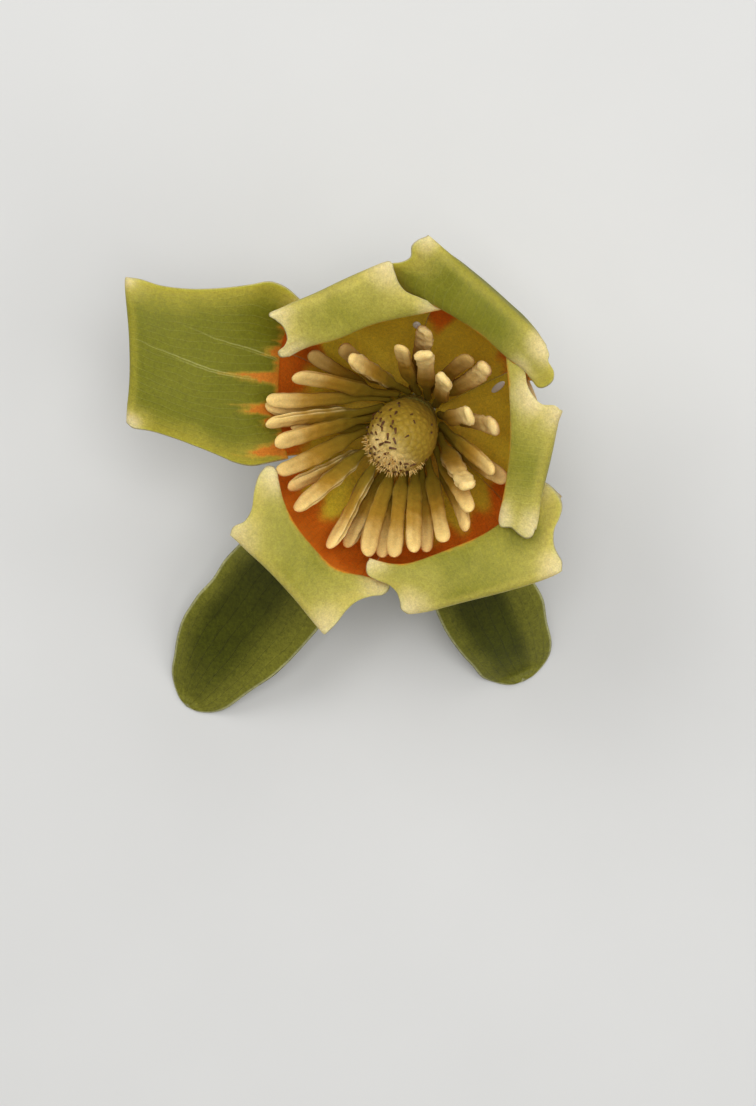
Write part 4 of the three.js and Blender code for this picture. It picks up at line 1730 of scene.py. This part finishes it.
@dataclass
class Scatter:
    """Geometry nodes that set one small shape on each point of a mesh and turn it to the point's own ways."""

    name: str
    length: float
    root_radius: float
    tip_radius: float
    sides: int
    flatness: float
    spread: float
    seed: int

    def tree(self) -> NodeTree:
        """Builds the tree.

        Returns:
            A tree whose inputs are the points, the sizes, the seed and the material.
        """
        tree = bpy.data.node_groups.new(self.name, "GeometryNodeTree")
        face = tree.interface
        face.new_socket("Points", in_out="INPUT", socket_type="NodeSocketGeometry")
        for key in ("Length", "Root Radius", "Tip Radius", "Flatness", "Spread"):
            face.new_socket(key, in_out="INPUT", socket_type="NodeSocketFloat")
        face.new_socket("Seed", in_out="INPUT", socket_type="NodeSocketInt")
        face.new_socket("Finish", in_out="INPUT", socket_type="NodeSocketMaterial")
        face.new_socket("Mesh", in_out="OUTPUT", socket_type="NodeSocketGeometry")
        graph = Graph(tree)
        into, out = graph.add("NodeGroupInput"), graph.add("NodeGroupOutput")
        give = into.outputs
        shape = graph.add("GeometryNodeMeshCone", {"Vertices": self.sides, "Side Segments": 4,
                                                   "Radius Top": give["Tip Radius"],
                                                   "Radius Bottom": give["Root Radius"],
                                                   "Depth": give["Length"]})
        flat = graph.add("ShaderNodeCombineXYZ", {"X": give["Flatness"], "Y": 1.0, "Z": 1.0}).outputs[0]
        thinned = graph.add("GeometryNodeTransform", {"Geometry": shape.outputs["Mesh"], "Scale": flat})
        way = self.named(graph, "way")
        out_way = self.named(graph, "out_way")
        stand = graph.add("FunctionNodeAlignRotationToVector", {"Vector": way}, axis="Z")
        faced = graph.add("FunctionNodeAlignRotationToVector",
                          {"Rotation": stand.outputs[0], "Vector": out_way}, axis="X", pivot_axis="Z")
        low = graph.minus(1.0, give["Spread"])
        high = graph.plus(1.0, give["Spread"])
        size = graph.add("FunctionNodeRandomValue", {"Min": low, "Max": high, "Seed": give["Seed"]},
                         data_type="FLOAT")
        factor = next(o for o in size.outputs if o.enabled)
        points = graph.add("GeometryNodeMeshToPoints", {"Mesh": give["Points"]})
        placed = graph.add("GeometryNodeInstanceOnPoints", {
            "Points": points.outputs[0], "Instance": thinned.outputs[0],
            "Rotation": faced.outputs[0], "Scale": factor})
        real = graph.add("GeometryNodeRealizeInstances", {"Geometry": placed.outputs[0]})
        painted = graph.add("GeometryNodeSetMaterial", {"Geometry": real.outputs[0],
                                                        "Material": give["Finish"]})
        graph.feed(out.inputs["Mesh"], painted.outputs[0])
        return tree

    @staticmethod
    def named(graph: Graph, name: str) -> Socket:
        """Reads a vector that the points carry."""
        node = graph.add("GeometryNodeInputNamedAttribute", {"Name": name}, data_type="FLOAT_VECTOR")
        return next(o for o in node.outputs if o.enabled and o.type == "VECTOR")

    def build(self, points: Array, ways: Array, out_ways: Array, name: str,
              finish: Material) -> Piece:
        """Sets the shapes on points and turns the result into a plain mesh.

        Args:
            points: N x 3, in millimetres.
            ways: N x 3, the direction each shape's length takes.
            out_ways: N x 3, the direction its thin side faces.
            name: The piece's name.
            finish: Its material.

        Returns:
            The piece, at the origin, with no modifier left on it.
        """
        source = Skin(points, [], {"way": ways, "out_way": out_ways}).object(name + "_points", None)
        tree = self.tree()
        modifier = source.modifiers.new(self.name, "NODES")
        modifier.node_group = tree
        given = {"Length": self.length * MM, "Root Radius": self.root_radius * MM,
                 "Tip Radius": self.tip_radius * MM, "Flatness": self.flatness, "Spread": self.spread,
                 "Seed": self.seed, "Finish": finish}
        for item in tree.interface.items_tree:
            if item.item_type == "SOCKET" and item.in_out == "INPUT" and item.name in given:
                modifier[item.identifier] = given[item.name]
        graph = bpy.context.evaluated_depsgraph_get()
        graph.update()
        mesh = bpy.data.meshes.new_from_object(source.evaluated_get(graph), depsgraph=graph)
        mesh.name = name
        for key in ("way", "out_way"):
            if key in mesh.attributes:
                mesh.attributes.remove(mesh.attributes[key])
        source.modifiers.remove(modifier)
        bpy.data.objects.remove(source)
        piece = bpy.data.objects.new(name, mesh)
        bpy.context.scene.collection.objects.link(piece)
        return piece


@dataclass
class PistilCone:
    """The cone of pistils: carpels in spirals, dark stigmas on them, and pale bristles round the tip."""

    foot: float = 6.6
    tip: float = 27.4
    lean_x: float = -0.5
    lean_y: float = -0.4
    radius: float = 4.8
    foot_radius: float = 3.2
    taper_from: float = 0.62
    tip_roundness: float = 2.4
    carpel_area: tuple[float, float] = (3.0, 1.35)
    carpel_height: float = 1.2
    carpel_reach: float = 0.6
    proud: float = 0.13
    sunk: float = 0.1
    seam_width: float = 0.42
    seam_depth: float = 0.25
    tip_rise: float = 2.4
    rising_along: Fade = (0.72, 1.0)
    grain_size: float = 0.7
    grain_depth: float = 0.06
    fuzz_way: tuple[float, float, float] = (-0.75, -0.6, 0.0)
    fuzz_along: Fade = (0.72, 0.9)
    fuzz_toward: Fade = (-1.6, 2.4)
    fuzz: float = 0.95
    bare_way: float = 10
    fuzzy_way: float = 240
    bristle_count: int = 230
    fringe_count: int = 120
    step: float = 0.01
    ring_crowding: float = 1.35
    around: int = 150
    rings: int = 170

    def spine(self, along: Array) -> Array:
        """The cone's axis."""
        foot, tip = np.array([0, 0, self.foot]), np.array([self.lean_x, self.lean_y, self.tip])
        return foot + (tip - foot) * np.asarray(along)[..., None]

    def bare_radius(self, along: Array) -> Array:
        """The cone's radius with no carpels on it, at shares of its length."""
        body = self.foot_radius + (self.radius - self.foot_radius) * np.sin(math.pi * (0.1 + 0.8 * along))
        return body * rounded_tip(along, self.taper_from, self.tip_roundness)

    def bare(self, along: Array, angle: Array) -> Array:
        """Points of the bare cone, at shares of its length and angles round it."""
        way = np.stack([np.cos(angle), np.sin(angle), np.zeros_like(angle)], -1)
        return self.spine(along) + self.bare_radius(along)[..., None] * way

    def carpels(self) -> tuple[Array, Array]:
        """Where the carpels' tips are: a sunflower spiral carried over the cone.

        Returns:
            Shares of the length and angles.
        """
        fine = np.linspace(0.999, 0.14, 700)
        radius = self.bare_radius(fine)
        slant = np.hypot(np.gradient(radius), np.gradient(fine) * (self.tip - self.foot))
        low, high = self.carpel_area
        each = low + (high - low) * smooth(fine, 0.45, 0.9)
        count = np.cumsum(2 * math.pi * radius * slant / each)
        index = np.arange(int(count[-1]))
        return np.interp(index + 0.7, count, fine), index * GOLDEN_ANGLE * DEG + 0.9

    def meridians(self, along: Array, angle: Array) -> Array:
        """The ways up the cone's side."""
        above = self.bare(np.clip(along + self.step, 0, 0.999), angle)
        return unit(above - self.bare(along - self.step, angle))

    def skin(self) -> Skin:
        """Builds the cone's closed skin with a scale-like relief.

        Returns:
            The skin, with the values that its finish reads.
        """
        along = 1 - np.linspace(1, 0, self.rings) ** self.ring_crowding
        angle = np.linspace(0, 2 * math.pi, self.around, endpoint=False)
        grid_along, grid_angle = np.meshgrid(along, angle, indexing="ij")
        points = self.bare(grid_along, grid_angle)
        centres = self.bare(*self.carpels())
        flat = points.reshape(-1, 3)
        up = self.meridians(*self.carpels())
        gap = flat[:, None] - centres[None]
        rise = np.einsum("pcx,cx->pc", gap, up)
        away = np.sqrt(np.maximum((gap**2).sum(-1) - 0.6 * rise**2, 0))
        order = np.partition(away, 1, axis=1)
        seam = 1 - smooth(order[:, 1] - order[:, 0], 0.0, self.seam_width)
        nearest = centres[np.argmin(away, axis=1)]
        below = np.clip((nearest[:, 2] - flat[:, 2]) / self.carpel_height, -1, 1)
        swell = bell(order[:, 0], 0, self.carpel_reach) * (1 - 0.5 * below) - self.seam_depth * seam
        spine = self.spine(grid_along).reshape(-1, 3)
        rising = smooth(grid_along.reshape(-1, 1), *self.rising_along)
        out = unit(flat - spine + UP * 1e-6 + UP * self.tip_rise * rising)
        fine = ripple(flat, self.grain_size, 41) * self.grain_depth
        flat = flat + out * (self.proud * swell + fine - self.sunk)[:, None]
        ends = np.stack([self.spine(np.array(0.0)), flat[-self.around:].mean(0) + UP * 0.05])
        toward = (flat - spine) @ unit(np.array(self.fuzz_way))
        fuzz = smooth(grid_along.ravel(), *self.fuzz_along) * smooth(toward, *self.fuzz_toward) * self.fuzz
        values = {"along": with_ends(grid_along, 0, 1), "seam": with_ends(seam),
                  "fuzz": with_ends(fuzz, 0, 0.6)}
        return tube_skin(leaning(np.concatenate([flat, ends])), self.rings, self.around, values)

    def ways(self, along: Array, angle: Array) -> tuple[Array, Array, Array]:
        """Places on the cone with their own directions, leaning with the flower.

        Args:
            along: Shares of the length.
            angle: Angles round the cone.

        Returns:
            The points, the ways up the cone's side, and the ways out of it.
        """
        up = self.meridians(along, angle)
        round_way = unit(self.bare(along, angle + self.step) - self.bare(along, angle - self.step))
        out = unit(np.cross(round_way, up))
        turn = flower_turn().T
        return leaning(self.bare(along, angle) + out * self.proud * 0.75), up @ turn, out @ turn

    def stigmas(self, finish: Material) -> Piece:
        """Makes the dark dashes on the carpels' tips.

        Args:
            finish: Their material.

        Returns:
            The piece.
        """
        along, angle = self.carpels()
        rng = np.random.default_rng(5)
        bare_side = smooth(np.cos(angle - self.bare_way * DEG), -0.1, 0.6)
        seen = (along > 0.5) & (along < 0.992) & (rng.uniform(size=len(along)) > 0.2 + 0.68 * bare_side)
        along, angle = along[seen], angle[seen] + rng.normal(0, 0.03, seen.sum())
        points, up, out = self.ways(along, angle)
        side = unit(np.cross(out, up))
        way = unit(up + side * rng.normal(0.1, 0.3, len(up))[:, None] + out * 0.15)
        scatter = Scatter("Stigma dashes", length=0.92, root_radius=0.17, tip_radius=0.09, sides=7,
                          flatness=0.8, spread=0.25, seed=3)
        return scatter.build(points, way, out, "stigma_dashes", finish)

    def bristles(self, finish: Material) -> Piece:
        """Makes the pale bristles on the fuzzy side of the tip.

        Args:
            finish: Their material.

        Returns:
            The piece.
        """
        rng = np.random.default_rng(8)
        count, fringe = self.bristle_count, self.fringe_count
        along = 0.87 + 0.115 * rng.uniform(size=count) ** 0.7
        angle = self.fuzzy_way * DEG + rng.normal(0, 0.55, count)
        along[:fringe] = rng.normal(0.79, 0.025, fringe)
        angle[:fringe] = rng.uniform(170 * DEG, 320 * DEG, fringe)
        points, up, out = self.ways(np.clip(along, 0.3, 0.985), angle)
        side = unit(np.cross(out, up))
        way = up * rng.normal(0.1, 0.35, count)[:, None]
        way = unit(out + way + side * rng.normal(0, 0.35, count)[:, None])
        scatter = Scatter("Cone bristles", length=0.55, root_radius=0.05, tip_radius=0.018, sides=5,
                          flatness=1.0, spread=0.45, seed=6)
        return scatter.build(points + way * 0.2, way, out, "cone_bristles", finish)

    def build(self, effects: TissueEffects) -> list[Piece]:
        """Makes the cone and what stands on it.

        Args:
            effects: The shared node groups.

        Returns:
            The pieces.
        """
        dark = HairFinish(effects, "stigma_skin", colour(74, 42, 14), colour(104, 62, 20), 0.6).material()
        pale = HairFinish(effects, "bristle_skin", colour(226, 194, 120), colour(190, 146, 66), 0.7)
        cone = self.skin().object("dressed_pistil_cone", ConeFinish(effects).material())
        return [dressed(cone, ["pistil_cone"]),
                dressed(self.stigmas(dark), []),
                dressed(self.bristles(pale.material()), [])]


# ---- Receptacle and stalk ----


@dataclass
class Base:
    """The receptacle that carries the flower's parts, and the short stalk with its flat cut."""

    cut_radius: float = 2.3
    neck_radius: float = 3.3
    neck_rise: float = -1.9
    foot: float = -1.6
    foot_radius: float = 3.4
    waist_radius: float = 3.7
    shoulder: float = 4.6
    top: float = 6.2
    top_radius: float = 2.9
    scar_height: float = 0.16
    scar_depth: float = 0.12
    scar_count: int = 7
    cut_bevel: float = 0.12
    cut_rings: tuple[float, ...] = (0.25, 0.5, 0.62, 0.84, 0.92)
    stalk_rings: int = 90
    receptacle_rings: int = 60
    around: int = 72

    def lathed(self, rings: Array, ways: tuple[Array, Array], values: Values
               ) -> Skin:
        """Closes a tube round a line.

        Args:
            rings: V x 4: each ring's middle and its radius.
            ways: Two V x 3 directions across the line.
            values: V numbers for the material.

        Returns:
            The skin, with `around` and `radius` added.
        """
        angle = np.linspace(0, 2 * math.pi, self.around, endpoint=False)
        radius = rings[:, 3][:, None] * np.ones(self.around)
        points = (rings[:, None, :3] + ways[0][:, None] * (radius * np.cos(angle))[..., None]
                  + ways[1][:, None] * (radius * np.sin(angle))[..., None])
        carried = {key: with_ends(np.repeat(v, self.around), v[0], v[-1]) for key, v in values.items()}
        carried["around"] = with_ends(np.tile(angle / math.pi, len(rings)))
        ends = rings[[0, -1], :3]
        return tube_skin(np.concatenate([points.reshape(-1, 3), ends]), len(rings), self.around, carried)

    def stalk(self) -> Skin:
        """Builds the stalk, with bract scars below the flower and a cut foot.

        Returns:
            The skin.
        """
        axis = flower_turn()[:, 2]
        neck = UP * FLOWER_BASE + axis * self.neck_rise
        marks = np.array([np.zeros(3), [0, 0, neck[2] / 2], neck - axis * neck[2] / 3, neck])
        shares = np.linspace(0, 1, self.stalk_rings)
        s = shares[:, None]
        line = (marks[0] * (1 - s) ** 3 + marks[1] * 3 * s * (1 - s) ** 2 + marks[2] * 3 * s**2 * (1 - s)
                + marks[3] * s**3)
        radius = self.cut_radius + (self.neck_radius - self.cut_radius) * shares**2
        scar = bell(shares, 0.46, 0.02) + 0.8 * bell(shares, 0.62, 0.015)
        radius = radius + self.scar_height * scar + 0.02 * np.sin(shares * 40)
        radius = radius - self.cut_bevel * bell(shares, 0, 0.012)
        cuts = np.array(self.cut_rings)
        ahead = unit(np.gradient(line, axis=0))
        first = unit(np.cross(ahead, np.array([0, 1.0, 0])))
        second = np.cross(ahead, first)
        disc = len(cuts)
        rings = np.column_stack([np.concatenate([np.repeat(line[:1], disc, 0), line]),
                                 np.concatenate([cuts * radius[0], radius])])
        ways = (np.concatenate([np.repeat(first[:1], disc, 0), first]),
                np.concatenate([np.repeat(second[:1], disc, 0), second]))
        rings[:disc, 2] += 0.04 * (1 - cuts)
        values = {"cut": np.concatenate([np.ones(disc), [1.0], np.zeros(len(shares) - 1)]),
                  "radius": np.concatenate([cuts, np.ones(len(shares))]),
                  "scar": np.concatenate([np.zeros(disc), np.clip(scar, 0, 1)])}
        return self.lathed(rings, ways, values)

    def receptacle(self) -> Skin:
        """Builds the receptacle, ringed with the scars that petals and stamens stand on.

        Returns:
            The skin.
        """
        profile = np.array([(self.foot_radius, self.foot), (self.waist_radius, 0), (self.waist_radius, 2.3),
                            (self.waist_radius, self.shoulder), (self.top_radius, self.top)])
        count = self.receptacle_rings
        shares, none, full = np.linspace(0, 1, count), np.zeros(count), np.ones(count)
        radius, height = (np.interp(shares, np.linspace(0, 1, len(profile)), part) for part in profile.T)
        scar = 0.5 + 0.5 * np.cos(shares * 2 * math.pi * self.scar_count)
        line = np.column_stack([none, none, height, radius - self.scar_depth * scar])
        ways = (np.tile([1.0, 0, 0], (count, 1)), np.tile([0, 1.0, 0], (count, 1)))
        skin = self.lathed(line, ways, {"cut": none, "radius": full, "scar": scar})
        skin.points = leaning(skin.points)
        return skin

    def build(self, effects: TissueEffects) -> list[Piece]:
        """Makes the stalk and the receptacle.

        Args:
            effects: The shared node groups.

        Returns:
            The pieces.
        """
        green = StalkFinish(effects).material()
        brown = StalkFinish(effects, name="receptacle_skin", bark=colour(158, 146, 66),
                            bark_dark=colour(126, 112, 46), scar=colour(112, 84, 34)).material()
        stalk = self.stalk().object("dressed_stalk", green)
        receptacle = self.receptacle().object("dressed_receptacle", brown)
        return [dressed(stalk, ["stalk"]), dressed(receptacle, ["receptacle"])]


# ---- Nectar ----


@dataclass(frozen=True)
class Drop:
    """One drop of nectar on a petal's inner face: its place, how long and wide it is, and its turn."""

    petal: int
    row: float
    side: float
    length: float
    width: float
    turn: float = 0.0


@dataclass
class Nectar:
    """The drops that hang on the upper wall of the cup."""

    drops: tuple[Drop, ...] = (
        Drop(3, 1.42, -0.88, 1.7, 1.2),
        Drop(1, 1.34, 0.86, 4.0, 1.0, 12),
    )
    height: float = 0.32
    sunk: float = 0.02
    rings: int = 12
    around: int = 24

    def drop(self, drop: Drop, petal: Petal) -> Skin:
        """Builds one drop.

        Args:
            drop: Its place and sizes.
            petal: The petal it hangs on.

        Returns:
            Its skin.
        """
        near = np.array([-1, 0, 1])
        shares = drop.row / (len(petal.rows()) - 1) + near * 0.004
        sides = np.tile(drop.side + near * 0.02, (3, 1))
        patch = petal.surface(petal.rows(), sides, shares)
        across, along = unit(patch[1, 2] - patch[1, 0]), unit(patch[2, 1] - patch[0, 1])
        inward = -unit(np.cross(across, along))
        first = along * math.cos(drop.turn * DEG) + across * math.sin(drop.turn * DEG)
        second = np.cross(inward, first)
        centre = patch[1, 1] + inward * (petal.thickness / 2 - self.sunk)
        polar = np.linspace(0, math.pi, self.rings + 2)[1:-1]
        angle = np.linspace(0, 2 * math.pi, self.around, endpoint=False)
        polar, angle = np.meshgrid(polar, angle, indexing="ij")
        body = (centre + first * (np.sin(polar) * np.cos(angle) * drop.length / 2)[..., None]
                + second * (np.sin(polar) * np.sin(angle) * drop.width / 2)[..., None]
                + inward * (np.cos(polar) * self.height)[..., None])
        ends = centre + np.outer([1, -1], inward * self.height)
        points = leaning(np.concatenate([body.reshape(-1, 3), ends]))
        return tube_skin(points, self.rings, self.around)

    def build(self, effects: TissueEffects, petals: tuple[Petal, ...]) -> Piece:
        """Makes the drops' piece.

        Args:
            effects: The shared node groups.
            petals: The petals they hang on.

        Returns:
            The piece.
        """
        skins = [self.drop(drop, petals[drop.petal - 1]) for drop in self.drops]
        piece = Skin.joined(skins).object("nectar_drops", NectarFinish(effects).material())
        return dressed(piece, [])


# ---- Floor, light and camera ----


@dataclass(frozen=True)
class SoftBox:
    """A square soft light: where it stands, its side and its power."""

    name: str
    at: tuple[float, float, float]
    side: float
    watts: float


@dataclass
class Studio:
    """A plain pale floor, soft light, and a camera straight above the flower."""

    camera_at: tuple[float, float, float] = (-4.9, -19.45, 590.0)
    focal_in_frame: float = 3998.0
    frame_height: float = 1106.0
    sensor: float = 36.0
    floor_radius: float = 1.6
    floor_gap: float = 0.06
    floor_corners: int = 96
    aim: tuple[float, float, float] = (-9.0, -10.0, 20.0)
    world_tint: Colour = (1.0, 0.99, 0.97, 1.0)
    world_strength: float = 0.32
    boxes: tuple[SoftBox, ...] = (
        SoftBox("key_light", (-330.0, 260.0, 470.0), 0.34, 1.4),
        SoftBox("fill_light", (360.0, -160.0, 420.0), 0.4, 0.7),
        SoftBox("back_light", (260.0, 330.0, 380.0), 0.3, 0.6),
        SoftBox("top_light", (20.0, 30.0, 700.0), 0.3, 2.25),
    )

    def floor(self) -> Piece:
        """Makes the floor.

        Returns:
            The floor.
        """
        angle = np.linspace(0, 2 * math.pi, self.floor_corners, endpoint=False)
        points = place(angle / DEG, self.floor_radius / MM, -self.floor_gap)
        disc = Skin(points, [tuple(range(self.floor_corners))]).object("floor", FloorFinish().material())
        return disc

    def lights(self) -> None:
        """Makes the soft lights and the even light of the room."""
        for box in self.boxes:
            light = bpy.data.lights.new(box.name, "AREA")
            light.size = box.side
            light.energy = box.watts
            lamp = bpy.data.objects.new(box.name, light)
            lamp.location = Vector(box.at) * MM
            lamp.rotation_euler = (Vector(self.aim) * MM - lamp.location).to_track_quat("-Z", "Y").to_euler()
            bpy.context.scene.collection.objects.link(lamp)
        world = bpy.data.worlds.new("room")
        world.use_nodes = True
        sky = next(n for n in world.node_tree.nodes if n.type == "BACKGROUND")
        sky.inputs["Color"].default_value = self.world_tint
        sky.inputs["Strength"].default_value = self.world_strength
        bpy.context.scene.world = world

    def camera(self) -> None:
        """Makes the camera, looking straight down with +Y up."""
        lens = bpy.data.cameras.new("camera")
        lens.sensor_width = self.sensor
        lens.lens = self.focal_in_frame / self.frame_height * self.sensor
        lens.clip_start, lens.clip_end = 0.01, 20.0
        eye = bpy.data.objects.new("camera", lens)
        eye.location = Vector(self.camera_at) * MM
        bpy.context.scene.collection.objects.link(eye)
        bpy.context.scene.camera = eye

    def build(self) -> None:
        """Makes the whole studio."""
        self.floor()
        self.lights()
        self.camera()
        bpy.context.scene.view_settings.view_transform = "Standard"


def main() -> None:
    """Builds the studio and then the flower from its stalk up."""
    logging.basicConfig(level=logging.INFO, format="%(name)s: %(message)s")
    Studio().build()
    effects = TissueEffects()
    corolla = Corolla()
    made = Base().build(effects) + Calyx().build(effects) + corolla.build(effects)
    made += Androecium().build(effects) + PistilCone().build(effects)
    made.append(Nectar().build(effects, corolla.petals))
    LOG.info("%d pieces", len(made))


if __name__ == "__main__":
    main()
